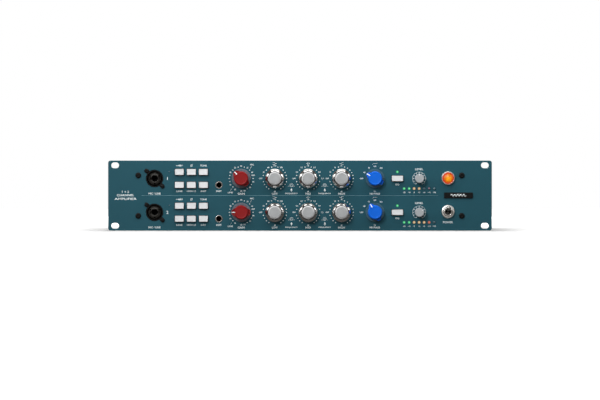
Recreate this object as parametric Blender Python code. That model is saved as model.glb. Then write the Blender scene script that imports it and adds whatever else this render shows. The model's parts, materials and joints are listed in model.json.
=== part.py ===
"""Two-channel microphone preamplifier with an equaliser, in a case two rack units high.

The case, the panel, the electronics inside and every control are separate objects. World frame: +X is to the
right as seen from the front, the front panel faces -Y and +Z is up. The origin is under the middle of the
whole unit, on the surface that it stands on. Sizes below are in millimetres. Every object hangs from one empty
at the middle of the panel's face, so its location counts from there, and y is the distance behind that face:
negative values stick out in front. Turning angles are clockwise from the top, seen from the front.
"""
from math import atan2, cos, hypot, pi, radians, sin

import bmesh
import bpy
from mathutils import Vector

MM = 0.001

# Front panel: nineteen inches wide and two rack units high.
RACK_UNIT = 44.45
PANEL_WIDTH = 482.6
PANEL_HEIGHT = 2 * RACK_UNIT - 0.8
PANEL_THICKNESS = 3.0
PANEL_CORNER = 3.0
PANEL_EDGE = 0.4
SLOT_CENTRE_X = 465.1 / 2
SLOT_CENTRE_Z = 76.2 / 2
SLOT_WIDTH = 10.3
SLOT_HEIGHT = 7.8
EAR_GROOVE_WIDTH = 0.8
EAR_GROOVE_DEPTH = 0.4

GAP = 0.3
SHEET = 1.5

# Case behind the panel.
CASE_DEPTH = 200.0
CASE_HALF_HEIGHT = 43.3
TRAY_HALF_WIDTH = 218.0
COVER_HALF_WIDTH = TRAY_HALF_WIDTH + GAP + 1.2
COVER_LIP = 12.0
CASE_FRONT = PANEL_THICKNESS + GAP
TRAY_TOP = CASE_HALF_HEIGHT - SHEET - GAP
FLOOR = -CASE_HALF_HEIGHT + SHEET
FLANGE_WIDTH = 20.5
VENT_COUNT = 10
VENT_WIDTH = 3.0
VENT_LENGTH = 45.0
VENT_PITCH = 9.0
VENT_X = 110.0
VENT_Y = 125.0

# Layout of the panel, measured from its middle.
CHANNEL_Z = (21.4, -21.1)
MIC_X = -182.9
BUTTON_X = (-151.6, -136.5, -121.4)
BUTTON_UPPER_ROW = 8.2
BUTTON_LOWER_ROW = -8.1
JACK_X = -102.0
GAIN_X = -73.9
BAND_X = {"low": -31.7, "mid": 10.2, "high": 52.2}
HIGHPASS_X = 94.2
EQ_SWITCH_X = 122.5
EQ_LIGHT_RISE = 8.4
LEVEL_X = 149.9
METER_DROP = -12.6
METER_PITCH = 6.3
METER_COUNT = 7
LAMP_X = 186.2
LAMP_Z = 21.9
SWITCH_X = 186.1
SWITCH_Z = -20.2
BADGE_X = 199.2
BADGE_Z = 0.3
PANEL_SCREW_X = 203.4
PANEL_SCREW_Z = 25.4

# Push buttons and the switch bodies that they press into.
BUTTON_SIZE = (11.5, 7.9)
EQ_BUTTON_SIZE = (14.4, 7.3)
BUTTON_FRONT = -4.5
BUTTON_BACK = 5.0
BUTTON_BEVEL = 0.5
WINDOW_GAP = 0.4
PLUNGER = 3.0
PLUNGER_END = 12.0
SWITCH_HALF = 4.5
SWITCH_FRONT = 8.5
PLUNGER_BORE = 3.8
BORE_END = 15.8

# Round controls. A knob's back is just clear of the panel.
KNOB_BACK = -0.8
SHAFT_RADIUS = 3.0
SHAFT_END = 15.0
SHAFT_BORE = 3.5
SHAFT_HOLE = 4.0
SKIRT_RADIUS = 12.2
SKIRT_FRONT = -2.2
CAP_RADIUS = 9.0
CAP_TOP_RADIUS = 7.6
CAP_EDGE = -14.0
CAP_FRONT = -15.5
WING_FRONT = -8.0
WING_REACH = 12.3
WING_TAIL = 11.9
WING_ROOT_ANGLE = 38.0
WING_END_HALF = 2.5
POT_HALF = 7.0
POT_FRONT = 8.0

# Dual knobs of the equaliser: a ring on a tube, and a cap whose shaft runs through the tube.
RING_RADIUS = 12.2
RING_EDGE = -6.0
RING_FRONT = -8.2
RING_TOP_RADIUS = 9.4
TUBE_BORE = 1.9
TUBE_END = 12.0
INNER_SHAFT = 1.5
FLUTES = 16
FLUTE_RADIUS = 8.65
FLUTE_DEPTH = 0.35
INNER_CAP_BACK = RING_FRONT - GAP
INNER_CAP_EDGE = -18.2
INNER_CAP_FRONT = -19.0
INNER_CAP_FACE = 7.4

LEVEL_RADIUS = 5.9
LEVEL_FRONT = -14.0

# Sockets on the panel.
MIC_NOSE = 10.65
MIC_NOSE_BORE = 9.75
MIC_INSERT = 8.15
MIC_JACK = 3.8
MIC_FLANGE = 13.0
MIC_BODY = 12.0
MIC_END = 31.0
JACK_RING = 4.55
JACK_BORE = 3.25
JACK_HALF = 7.5
JACK_END = 28.0

# Lamp, mains switch, badge and the small lights.
BEZEL_RADIUS = 8.7
BEZEL_POCKET = 7.45
LAMP_BARREL = 6.0
LENS_RADIUS = 7.0
NUT_RADIUS = 8.55
BUSHING_RADIUS = 5.9
BUSHING_BORE = 3.8
BUSHING_FRONT = -3.6
LEVER_PIVOT = -1.0
LEVER_TILT = 18.0
LEVER_LENGTH = 17.0
BADGE_SIZE = (36.2, 7.1)
LIGHT_RADIUS = 1.5
LIGHT_FRONT = -0.8

# Boards inside.
CONTROL_BOARD_Y = 17.0
BOARD_THICKNESS = 1.6
CONTROL_BOARD_X = (-160.0, 174.0)
CONTROL_BOARD_HALF_HEIGHT = 39.5
MAIN_BOARD_X = (-200.0, 75.0)
MAIN_BOARD_Y = (62.0, 170.0)
MAIN_BOARD_Z = FLOOR + 6.3
TOROID_X = 140.0
TOROID_Y = 115.0
TOROID_RADIUS = 42.0
TOROID_HEIGHT = 36.0

# Sockets on the back.
OUTPUT_X = (-150.0, -105.0)
OUTPUT_BODY = 11.5
OUTPUT_BORE = 9.6
OUTPUT_FLOOR = 187.0
OUTPUT_INNER_END = 178.0
PIN_CIRCLE = 6.0
PIN_RADIUS = 1.2
INLET_X = 150.0
INLET_FLANGE = (25.0, 14.0)
INLET_BODY = (14.0, 10.5)
INLET_RECESS = (12.0, 8.2)
REAR_FLANGE = CASE_DEPTH + GAP
REAR_END = CASE_DEPTH + 3.0

# The middle of the panel's face, with the origin under the middle of everything.
FACE_Y = -(REAR_END + INNER_CAP_FRONT) / 2
FACE_Z = PANEL_HEIGHT / 2

# Rest angles of the controls and the colour, roughness and metallic value of each look.
GAIN_REST = (-45, -90)
RING_REST = {"low": (-30, 0), "mid": (0, -30), "high": (-30, -60)}
CAP_REST = {"low": (15, -111), "mid": (-113, 18), "high": (46, -78)}
HIGHPASS_REST = (-60, -30)
LEVEL_REST = (0, 57)
LOOKS = {
    "teal_paint": ((0.03, 0.09, 0.12), 0.45, 0.0),
    "white_plastic": ((0.80, 0.80, 0.77), 0.35, 0.0),
    "red_plastic": ((0.30, 0.02, 0.02), 0.35, 0.0),
    "blue_plastic": ((0.01, 0.13, 0.62), 0.35, 0.0),
    "grey_plastic": ((0.38, 0.39, 0.40), 0.40, 0.0),
    "chrome": ((0.75, 0.75, 0.76), 0.12, 1.0),
    "silver_paint": ((0.40, 0.41, 0.42), 0.35, 0.3),
    "black_plastic": ((0.02, 0.02, 0.02), 0.45, 0.0),
    "black_steel": ((0.03, 0.03, 0.03), 0.40, 0.8),
    "amber_lens": ((0.95, 0.30, 0.03), 0.15, 0.0),
    "light_lens": ((0.55, 0.80, 0.55), 0.25, 0.0),
    "zinc_steel": ((0.45, 0.46, 0.47), 0.45, 0.9),
    "dark_paint": ((0.03, 0.03, 0.035), 0.55, 0.0),
    "green_board": ((0.02, 0.16, 0.07), 0.50, 0.0),
    "copper_winding": ((0.45, 0.20, 0.07), 0.45, 0.5),
}


# ---- Shapes -------------------------------------------------------------------------------------------------

def even_angles(count):
    """Angles of a regular outline's corners, clockwise from the top."""
    return [2 * pi * i / count for i in range(count)]


def loop(y, radius, angles):
    """Points around the Y axis. The radius is a number or a function of the angle."""
    points = []
    for angle in angles:
        reach = radius(angle) if callable(radius) else radius
        points.append(Vector((reach * sin(angle), y, reach * cos(angle))))
    return points


def square(half):
    """Radius of a square outline with flat sides, as a function of the angle."""
    return lambda angle: half / max(abs(sin(angle)), abs(cos(angle)))


def hexagon(corner):
    """Radius of a hexagon with a corner at the top, as a function of the angle."""
    return lambda angle: corner * cos(pi / 6) / cos(angle % (pi / 3) - pi / 6)


def fluted(angle):
    """Radius of the fluted flank of an inner cap."""
    return FLUTE_RADIUS + FLUTE_DEPTH * cos(FLUTES * angle)


def wing_outline(steps=8):
    """Angle and radius of each point round a cap with two tapered wings: a pointer at the top and a tail."""
    root = radians(WING_ROOT_ANGLE)
    sides = [(root + (pi - 2 * root) * i / steps, CAP_RADIUS) for i in range(steps + 1)]
    pointer = (atan2(WING_END_HALF, WING_REACH), hypot(WING_END_HALF, WING_REACH))
    tail = (pi - atan2(WING_END_HALF, WING_TAIL), hypot(WING_END_HALF, WING_TAIL))
    right = [pointer, *sides, tail]
    left = [(2 * pi - angle, radius) for angle, radius in reversed(right)]
    return right + left


def rectangle(y, width, height, corner=0.0, inset=0.0, steps=1):
    """Points of a rectangle around the Y axis, with its corners rounded in a few steps."""
    half_x = width / 2 - inset
    half_z = height / 2 - inset
    if not corner:
        return [Vector((sx * half_x, y, sz * half_z)) for sx, sz in ((-1, -1), (-1, 1), (1, 1), (1, -1))]
    points = []
    for quarter, (sx, sz) in enumerate(((1, 1), (1, -1), (-1, -1), (-1, 1))):
        for i in range(steps + 1):
            angle = (quarter + i / steps) * pi / 2
            x = sx * (half_x - corner) + corner * sin(angle)
            z = sz * (half_z - corner) + corner * cos(angle)
            points.append(Vector((x, y, z)))
    return points


def skin(bm, loops, closed=False, at=(0, 0, 0)):
    """Join a stack of equally long loops into one body: a ring if it closes on itself, or capped at its ends."""
    shift = Vector(at)
    rings = [[bm.verts.new((point + shift) * MM) for point in points] for points in loops]
    pairs = list(zip(rings, rings[1:]))
    if closed:
        pairs.append((rings[-1], rings[0]))
    for near, far in pairs:
        for i in range(len(near)):
            j = (i + 1) % len(near)
            bm.faces.new((near[i], near[j], far[j], far[i]))
    if not closed:
        bm.faces.new(rings[0])
        bm.faces.new(rings[-1])


def block(bm, x, y, z):
    """A box between two limits on each axis."""
    middle = ((x[0] + x[1]) / 2, 0, (z[0] + z[1]) / 2)
    size = (x[1] - x[0], z[1] - z[0])
    skin(bm, [rectangle(y[0], *size), rectangle(y[1], *size)], at=middle)


def rod(bm, x, z, radius, y, count):
    """A cylinder along Y between two limits."""
    angles = even_angles(count)
    skin(bm, [loop(y[0], radius, angles), loop(y[1], radius, angles)], at=(x, 0, z))


def upright(bm, x, y, sections, count):
    """A turned body on a vertical axis, from pairs of height and radius."""
    loops = [[Vector((radius * cos(a), radius * sin(a), z)) for a in even_angles(count)] for z, radius in sections]
    skin(bm, loops, at=(x, y, 0))


def turned(bm, sections, count, closed=False):
    """A body around the Y axis, from pairs of y and radius."""
    angles = even_angles(count)
    skin(bm, [loop(y, radius, angles) for y, radius in sections], closed)


# ---- Objects ------------------------------------------------------------------------------------------------

def make_material(name, look):
    colour, roughness, metallic = LOOKS[look]
    material = bpy.data.materials.new(name)
    material.use_nodes = True
    shader = material.node_tree.nodes["Principled BSDF"]
    shader.inputs["Base Color"].default_value = (*colour, 1.0)
    shader.inputs["Roughness"].default_value = roughness
    shader.inputs["Metallic"].default_value = metallic
    return material


def make_object(name, bm, at=(0, 0, 0)):
    """Close the mesh of a body, turn its faces out and hang it from the middle of the panel's face."""
    bmesh.ops.recalc_face_normals(bm, faces=bm.faces)
    mesh = bpy.data.meshes.new(name)
    bm.to_mesh(mesh)
    bm.free()
    mesh.shade_smooth()
    mesh.set_sharp_from_angle(angle=radians(35))
    item = bpy.data.objects.new(name, mesh)
    bpy.context.collection.objects.link(item)
    item.parent = bpy.data.objects["panel_face_middle"]
    item.location = Vector(at) * MM
    return item


def make_part(name, bm, look, at=(0, 0, 0), turn=0.0, tilt=0.0):
    """A sub-part with its own material, turned about Y and tilted about X at rest."""
    item = make_object(name, bm, at)
    item.rotation_euler = (radians(tilt), radians(turn), 0)
    item.data.materials.append(make_material(name, look))
    return item


def combine(target, bm, operation, name, at=(0, 0, 0)):
    """Cut the helper's bodies out of the target, or join them to it."""
    helper = make_object(name, bm, at)
    helper.hide_render = True
    helper.display_type = "WIRE"
    modifier = target.modifiers.new(name, "BOOLEAN")
    modifier.operation = operation
    modifier.solver = "EXACT"
    modifier.object = helper


def channels():
    """Number and height of each channel's centre line."""
    return enumerate(CHANNEL_Z, start=1)


def button_places():
    """Name, centre and cap size of every push button."""
    upper = ("phantom", "polarity", "tone")
    lower = ("line", "impedance", "instrument")
    for channel, z in channels():
        for x, upper_name, lower_name in zip(BUTTON_X, upper, lower):
            yield f"{upper_name}_button_{channel}", x, z + BUTTON_UPPER_ROW, BUTTON_SIZE
            yield f"{lower_name}_button_{channel}", x, z + BUTTON_LOWER_ROW, BUTTON_SIZE
        yield f"eq_button_{channel}", EQ_SWITCH_X, z, EQ_BUTTON_SIZE


def shaft_places():
    """Centre of every round control."""
    for _, z in channels():
        for x in (GAIN_X, *BAND_X.values(), HIGHPASS_X, LEVEL_X):
            yield x, z


def meter_places():
    """Centre of every light of the level meters, from the middle of its row."""
    return [METER_PITCH * (i - (METER_COUNT - 1) / 2) for i in range(METER_COUNT)]


# ---- Front panel and what is fixed to it ----------------------------------------------------------------------

def make_front_panel():
    """Plate with all its holes, and a shallow groove down its back where each rack ear begins."""
    bm = bmesh.new()
    size = (PANEL_WIDTH, PANEL_HEIGHT, PANEL_CORNER)
    edge = PANEL_CORNER - PANEL_EDGE
    skin(bm, [
        rectangle(0, PANEL_WIDTH, PANEL_HEIGHT, edge, PANEL_EDGE, 3),
        rectangle(PANEL_EDGE, *size, 0, 3),
        rectangle(PANEL_THICKNESS, *size, 0, 3),
    ])
    panel = make_part("front_panel", bm, "teal_paint")
    holes = bmesh.new()
    through = (-2.0, PANEL_THICKNESS + 2.0)
    ear_groove = (PANEL_THICKNESS - EAR_GROOVE_DEPTH, PANEL_THICKNESS + 2.0)
    for sx in (-1, 1):
        groove = [rectangle(y, EAR_GROOVE_WIDTH, PANEL_HEIGHT + 4.0) for y in ear_groove]
        skin(holes, groove, at=(sx * (COVER_HALF_WIDTH + EAR_GROOVE_WIDTH), 0, 0))
        for sz in (-1, 1):
            slot = [rectangle(y, SLOT_WIDTH, SLOT_HEIGHT, SLOT_HEIGHT / 2 - 0.1, 0, 3) for y in through]
            skin(holes, slot, at=(sx * SLOT_CENTRE_X, 0, sz * SLOT_CENTRE_Z))
            rod(holes, sx * PANEL_SCREW_X, sz * PANEL_SCREW_Z, 2.5, through, 8)
    for _, x, z, (width, height) in button_places():
        window = [rectangle(y, width + 2 * WINDOW_GAP, height + 2 * WINDOW_GAP) for y in through]
        skin(holes, window, at=(x, 0, z))
    for x, z in shaft_places():
        rod(holes, x, z, SHAFT_HOLE, through, 8)
    for _, z in channels():
        rod(holes, MIC_X, z, MIC_NOSE + 0.5, through, 20)
        rod(holes, JACK_X, z + BUTTON_LOWER_ROW, JACK_RING + 0.45, through, 12)
        rod(holes, EQ_SWITCH_X, z + EQ_LIGHT_RISE, LIGHT_RADIUS + 0.5, through, 8)
        for x in meter_places():
            rod(holes, LEVEL_X + x, z + METER_DROP, LIGHT_RADIUS + 0.6, through, 6)
    rod(holes, LAMP_X, LAMP_Z, LAMP_BARREL + 0.5, through, 16)
    rod(holes, SWITCH_X, SWITCH_Z, BUSHING_RADIUS + 0.5, through, 16)
    combine(panel, holes, "DIFFERENCE", "panel_holes")


def make_panel_screws():
    corners = [(sx, sz) for sz in (1, -1) for sx in (-1, 1)]
    for number, (sx, sz) in enumerate(corners, start=1):
        bm = bmesh.new()
        turned(bm, [
            (10.0, 2.0), (-GAP, 2.0), (-GAP, 3.6), (-1.7, 3.6), (-2.7, 2.9),
            (-2.7, hexagon(2.1)), (-1.1, hexagon(2.1)),
        ], 12)
        make_part(f"panel_screw_{number}", bm, "black_steel", (sx * PANEL_SCREW_X, 0, sz * PANEL_SCREW_Z))


def make_mic_inputs():
    """A socket for both plugs: a round groove for the shell of one, and a bore in its middle for the other."""
    for channel, z in channels():
        bm = bmesh.new()
        turned(bm, [
            (MIC_END, MIC_BODY), (CASE_FRONT + 2.0, MIC_BODY),
            (CASE_FRONT + 2.0, square(MIC_FLANGE)), (CASE_FRONT, square(MIC_FLANGE)),
            (CASE_FRONT, MIC_NOSE), (GAP, MIC_NOSE), (GAP, MIC_NOSE_BORE),
            (18.0, MIC_NOSE_BORE), (18.0, MIC_INSERT),
            (2.3, MIC_INSERT), (2.3, MIC_JACK), (MIC_END - 2.0, MIC_JACK),
        ], 16)
        make_part(f"mic_input_{channel}", bm, "black_plastic", (MIC_X, 0, z))


def make_instrument_jacks():
    for channel, z in channels():
        bm = bmesh.new()
        turned(bm, [
            (JACK_END, square(JACK_HALF)), (CASE_FRONT, square(JACK_HALF)), (CASE_FRONT, JACK_RING),
            (LIGHT_FRONT, JACK_RING), (LIGHT_FRONT, JACK_BORE), (JACK_END - 2.0, JACK_BORE),
        ], 16)
        make_part(f"instrument_jack_{channel}", bm, "chrome", (JACK_X, 0, z + BUTTON_LOWER_ROW))


def make_lamp():
    bezel = bmesh.new()
    turned(bezel, [
        (18.0, LAMP_BARREL), (-GAP, LAMP_BARREL), (-GAP, BEZEL_RADIUS), (-3.2, BEZEL_RADIUS), (-3.9, 8.0),
        (-3.9, BEZEL_POCKET), (-1.3, BEZEL_POCKET), (-1.3, 4.9), (14.0, 4.9),
    ], 16)
    make_part("lamp_bezel", bezel, "chrome", (LAMP_X, 0, LAMP_Z))
    lens = bmesh.new()
    turned(lens, [
        (8.0, 4.5), (-1.6, 4.5), (-1.6, LENS_RADIUS), (-4.4, LENS_RADIUS), (-7.6, 4.6), (-8.6, 2.4),
    ], 12)
    make_part("lamp_lens", lens, "amber_lens", (LAMP_X, 0, LAMP_Z))


def make_power_switch():
    at = (SWITCH_X, 0, SWITCH_Z)
    body = bmesh.new()
    block(body, (-7.0, 7.0), (CASE_FRONT + 0.7, 24.0), (-14.0, 14.0))
    switch = make_part("power_switch_body", body, "zinc_steel", at)
    bushing = bmesh.new()
    rod(bushing, 0, 0, BUSHING_RADIUS, (BUSHING_FRONT, 8.0), 12)
    combine(switch, bushing, "UNION", "switch_bushing", at)
    bore = bmesh.new()
    rod(bore, 0, 0, BUSHING_BORE, (BUSHING_FRONT - 2.0, 9.0), 12)
    combine(switch, bore, "DIFFERENCE", "switch_bore", at)
    nut = bmesh.new()
    inner = BUSHING_RADIUS + 0.4
    turned(nut, [
        (-GAP, inner), (-GAP, NUT_RADIUS), (-3.0, NUT_RADIUS), (-3.8, NUT_RADIUS - 0.8), (-3.8, inner),
    ], 16, closed=True)
    make_part("power_switch_nut", nut, "chrome", at)
    lever = bmesh.new()
    turned(lever, [
        (5.0, 1.3), (1.8, 1.3), (1.8, 2.2), (0.0, 3.1), (-1.6, 2.4), (-3.0, 1.9),
        (3.5 - LEVER_LENGTH, 2.9), (1.0 - LEVER_LENGTH, 2.6), (-LEVER_LENGTH, 1.4),
    ], 10)
    make_part("power_toggle_lever", lever, "chrome", (SWITCH_X, LEVER_PIVOT, SWITCH_Z), tilt=-LEVER_TILT)


def make_badge():
    bm = bmesh.new()
    skin(bm, [
        rectangle(-GAP, *BADGE_SIZE, 0.5), rectangle(-1.4, *BADGE_SIZE, 0.5), rectangle(-1.7, *BADGE_SIZE, 0.2, 0.3),
    ])
    make_part("badge_plate", bm, "black_plastic", (BADGE_X, 0, BADGE_Z))


def make_lights():
    """Meter lights share one moulding that stands on the control board. The equaliser's light stands alone."""
    moulding_end = CONTROL_BOARD_Y - GAP
    for channel, z in channels():
        bar = bmesh.new()
        half_bar = METER_PITCH * METER_COUNT / 2
        block(bar, (-half_bar, half_bar), (4.0, moulding_end), (-2.2, 2.2))
        place = (LEVEL_X, 0, z + METER_DROP)
        lights = make_part(f"meter_lights_{channel}", bar, "light_lens", place)
        heads = bmesh.new()
        for x in meter_places():
            rod(heads, x, 0, LIGHT_RADIUS, (LIGHT_FRONT, 6.0), 6)
        combine(lights, heads, "UNION", f"meter_heads_{channel}", place)
        single = bmesh.new()
        turned(single, [
            (moulding_end, 2.2), (4.0, 2.2), (4.0, LIGHT_RADIUS), (-0.4, LIGHT_RADIUS), (LIGHT_FRONT, 1.1),
        ], 8)
        make_part(f"eq_light_{channel}", single, "light_lens", (EQ_SWITCH_X, 0, z + EQ_LIGHT_RISE))


# ---- Controls that move -----------------------------------------------------------------------------------------

def make_buttons():
    """A cap in its window, with a square plunger behind it that slides in the switch body."""
    for name, x, z, size in button_places():
        bm = bmesh.new()
        skin(bm, [
            rectangle(PLUNGER_END, PLUNGER, PLUNGER), rectangle(BUTTON_BACK, PLUNGER, PLUNGER),
            rectangle(BUTTON_BACK, *size), rectangle(BUTTON_FRONT + BUTTON_BEVEL, *size),
            rectangle(BUTTON_FRONT, *size, inset=BUTTON_BEVEL),
        ])
        make_part(name, bm, "white_plastic", (x, 0, z))


def make_winged_knob(name, look, x, z, rest):
    """Shaft, round skirt, and a round cap with a low wing on each side, as one piece."""
    outline = dict(wing_outline())
    angles = list(outline)
    bm = bmesh.new()
    skin(bm, [
        loop(SHAFT_END, SHAFT_RADIUS, angles), loop(KNOB_BACK, SHAFT_RADIUS, angles),
        loop(KNOB_BACK, SKIRT_RADIUS, angles), loop(SKIRT_FRONT, SKIRT_RADIUS, angles),
        loop(SKIRT_FRONT, outline.get, angles), loop(WING_FRONT, outline.get, angles),
        loop(WING_FRONT, CAP_RADIUS, angles), loop(CAP_EDGE, CAP_RADIUS, angles),
        loop(CAP_FRONT, CAP_TOP_RADIUS, angles),
    ])
    make_part(name, bm, look, (x, 0, z), rest)


def make_dual_knob(band, channel, z):
    """The ring turns on its tube around the inner cap's shaft."""
    x = BAND_X[band]
    ring = bmesh.new()
    turned(ring, [
        (TUBE_END, SHAFT_RADIUS), (KNOB_BACK, SHAFT_RADIUS), (KNOB_BACK, RING_RADIUS), (RING_EDGE, RING_RADIUS),
        (RING_FRONT, RING_TOP_RADIUS), (RING_FRONT, TUBE_BORE), (TUBE_END, TUBE_BORE),
    ], 24, closed=True)
    make_part(f"{band}_frequency_ring_{channel}", ring, "chrome", (x, 0, z), RING_REST[band][channel - 1])
    cap = bmesh.new()
    turned(cap, [
        (SHAFT_END, INNER_SHAFT), (INNER_CAP_BACK, INNER_SHAFT), (INNER_CAP_BACK, fluted),
        (INNER_CAP_EDGE, fluted), (INNER_CAP_FRONT, INNER_CAP_FACE),
    ], 2 * FLUTES)
    make_part(f"{band}_boost_cap_{channel}", cap, "grey_plastic", (x, 0, z), CAP_REST[band][channel - 1])


def make_level_knob(channel, z):
    bm = bmesh.new()
    turned(bm, [
        (SHAFT_END, SHAFT_RADIUS), (KNOB_BACK, SHAFT_RADIUS), (KNOB_BACK, LEVEL_RADIUS),
        (LEVEL_FRONT + 1.0, LEVEL_RADIUS - 0.3), (LEVEL_FRONT, LEVEL_RADIUS - 1.2),
    ], 18)
    make_part(f"level_knob_{channel}", bm, "silver_paint", (LEVEL_X, 0, z), LEVEL_REST[channel - 1])


def make_knobs():
    for channel, z in channels():
        make_winged_knob(f"gain_knob_{channel}", "red_plastic", GAIN_X, z, GAIN_REST[channel - 1])
        make_winged_knob(f"highpass_knob_{channel}", "blue_plastic", HIGHPASS_X, z, HIGHPASS_REST[channel - 1])
        for band in BAND_X:
            make_dual_knob(band, channel, z)
        make_level_knob(channel, z)


# ---- Case -------------------------------------------------------------------------------------------------------

def channel_section(y, half_width, low, high, thickness, opens_up):
    """Outline of a sheet bent into a channel that opens up or down, at one distance behind the panel."""
    outline = [
        (-half_width, high), (-half_width, low), (half_width, low), (half_width, high),
        (half_width - thickness, high), (half_width - thickness, low + SHEET),
        (thickness - half_width, low + SHEET), (thickness - half_width, high),
    ]
    if opens_up:
        return [Vector((px, y, pz)) for px, pz in outline]
    return [Vector((px, y, low + high - pz)) for px, pz in outline]


def make_tray():
    """Floor and side walls, with a flange folded inwards on each side for the panel's screws."""
    bm = bmesh.new()
    ends = (CASE_FRONT + 0.4, CASE_DEPTH)
    skin(bm, [channel_section(y, TRAY_HALF_WIDTH, -CASE_HALF_HEIGHT, TRAY_TOP, SHEET, True) for y in ends])
    tray = make_part("chassis_tray", bm, "zinc_steel")
    flanges = bmesh.new()
    holes = bmesh.new()
    for side in (-1, 1):
        outer = side * (TRAY_HALF_WIDTH - SHEET / 2)
        inner = side * (TRAY_HALF_WIDTH - FLANGE_WIDTH)
        limits = (min(outer, inner), max(outer, inner))
        block(flanges, limits, (CASE_FRONT, CASE_FRONT + SHEET), (FLOOR - SHEET / 2, TRAY_TOP - 1.0))
        for row in (-1, 1):
            rod(holes, side * PANEL_SCREW_X, row * PANEL_SCREW_Z, 2.5, (0.0, 8.0), 8)
    combine(tray, flanges, "UNION", "tray_flanges")
    combine(tray, holes, "DIFFERENCE", "tray_holes")


def make_cover():
    """Top sheet with a lip down each side and two rows of vents."""
    bm = bmesh.new()
    lip_low = CASE_HALF_HEIGHT - COVER_LIP
    ends = (CASE_FRONT, CASE_DEPTH)
    skin(bm, [channel_section(y, COVER_HALF_WIDTH, lip_low, CASE_HALF_HEIGHT, 1.2, False) for y in ends])
    cover = make_part("top_cover", bm, "dark_paint")
    vents = bmesh.new()
    for side in (-1, 1):
        for i in range(VENT_COUNT):
            x = side * VENT_X + VENT_PITCH * (i - (VENT_COUNT - 1) / 2)
            block(
                vents, (x - VENT_WIDTH / 2, x + VENT_WIDTH / 2),
                (VENT_Y - VENT_LENGTH / 2, VENT_Y + VENT_LENGTH / 2), (TRAY_TOP - 2.0, CASE_HALF_HEIGHT + 2.0),
            )
    combine(cover, vents, "DIFFERENCE", "cover_vents")


def make_rear_panel():
    bm = bmesh.new()
    half_width = TRAY_HALF_WIDTH - SHEET - GAP
    block(bm, (-half_width, half_width), (CASE_DEPTH - SHEET, CASE_DEPTH), (FLOOR + GAP, TRAY_TOP))
    panel = make_part("rear_panel", bm, "dark_paint")
    holes = bmesh.new()
    through = (CASE_DEPTH - 4.0, CASE_DEPTH + 2.0)
    for x in OUTPUT_X:
        rod(holes, x, 0, OUTPUT_BODY + 0.6, through, 16)
    half_x, half_z = INLET_BODY
    wide = (INLET_X - half_x - GAP, INLET_X + half_x + GAP)
    block(holes, wide, through, (-half_z - GAP, half_z + GAP))
    combine(panel, holes, "DIFFERENCE", "rear_holes")


# ---- Sockets on the back ------------------------------------------------------------------------------------------

def make_line_outputs():
    """A shell with three pins, in a square flange."""
    for number, x in enumerate(OUTPUT_X, start=1):
        bm = bmesh.new()
        turned(bm, [
            (OUTPUT_INNER_END, OUTPUT_BODY), (REAR_FLANGE, OUTPUT_BODY),
            (REAR_FLANGE, square(MIC_FLANGE)), (REAR_FLANGE + 2.0, square(MIC_FLANGE)),
            (REAR_FLANGE + 2.0, OUTPUT_BODY), (REAR_END, OUTPUT_BODY - 0.3),
            (REAR_END, OUTPUT_BORE), (OUTPUT_FLOOR, OUTPUT_BORE),
        ], 16)
        socket = make_part(f"line_output_{number}", bm, "black_plastic", (x, 0, 0))
        pins = bmesh.new()
        for angle in (60, 180, 300):
            px = PIN_CIRCLE * sin(radians(angle))
            pz = PIN_CIRCLE * cos(radians(angle))
            rod(pins, px, pz, PIN_RADIUS, (OUTPUT_FLOOR - 1.5, CASE_DEPTH), 6)
        combine(socket, pins, "UNION", f"output_pins_{number}", (x, 0, 0))


def make_mains_inlet():
    """A flanged shell around a deep recess with three flat pins."""
    at = (INLET_X, 0, 0)
    body = bmesh.new()
    half_x, half_z = INLET_BODY
    block(body, (-half_x, half_x), (OUTPUT_INNER_END, REAR_FLANGE + 1.0), (-half_z, half_z))
    inlet = make_part("mains_inlet", body, "black_plastic", at)
    flange = bmesh.new()
    wide, high = INLET_FLANGE
    block(flange, (-wide, wide), (REAR_FLANGE, REAR_END), (-high, high))
    combine(inlet, flange, "UNION", "inlet_flange", at)
    recess = bmesh.new()
    half_x, half_z = INLET_RECESS
    block(recess, (-half_x, half_x), (OUTPUT_FLOOR, REAR_END + 4.0), (-half_z, half_z))
    combine(inlet, recess, "DIFFERENCE", "inlet_recess", at)
    pins = bmesh.new()
    for x, z in ((-7.0, -2.0), (0.0, 2.0), (7.0, -2.0)):
        block(pins, (x - 1.0, x + 1.0), (OUTPUT_FLOOR - 1.5, CASE_DEPTH), (z - 2.0, z + 2.0))
    combine(inlet, pins, "UNION", "inlet_pins", at)


# ---- Inside -------------------------------------------------------------------------------------------------------

def make_control_board():
    """Upright board with the bodies of all the switches and rotary controls on its front."""
    bm = bmesh.new()
    half = CONTROL_BOARD_HALF_HEIGHT
    back = CONTROL_BOARD_Y + BOARD_THICKNESS
    block(bm, CONTROL_BOARD_X, (CONTROL_BOARD_Y, back), (-half, half))
    board = make_part("control_board", bm, "green_board")
    bodies = bmesh.new()
    bores = bmesh.new()
    seat = CONTROL_BOARD_Y + BOARD_THICKNESS / 2
    for _, x, z, _ in button_places():
        half = SWITCH_HALF
        block(bodies, (x - half, x + half), (SWITCH_FRONT, seat), (z - half, z + half))
        half = PLUNGER_BORE / 2
        block(bores, (x - half, x + half), (SWITCH_FRONT - 2.0, BORE_END), (z - half, z + half))
    for x, z in shaft_places():
        half = POT_HALF
        block(bodies, (x - half, x + half), (POT_FRONT, seat), (z - half, z + half))
        rod(bores, x, z, SHAFT_BORE, (POT_FRONT - 2.0, BORE_END), 8)
    for _, z in channels():
        half = JACK_HALF + 0.7
        middle = z + BUTTON_LOWER_ROW
        block(bores, (JACK_X - half, JACK_X + half), (SWITCH_FRONT, back + 3.0), (middle - half, middle + half))
    combine(board, bodies, "UNION", "control_bodies")
    combine(board, bores, "DIFFERENCE", "control_bores")


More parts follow.
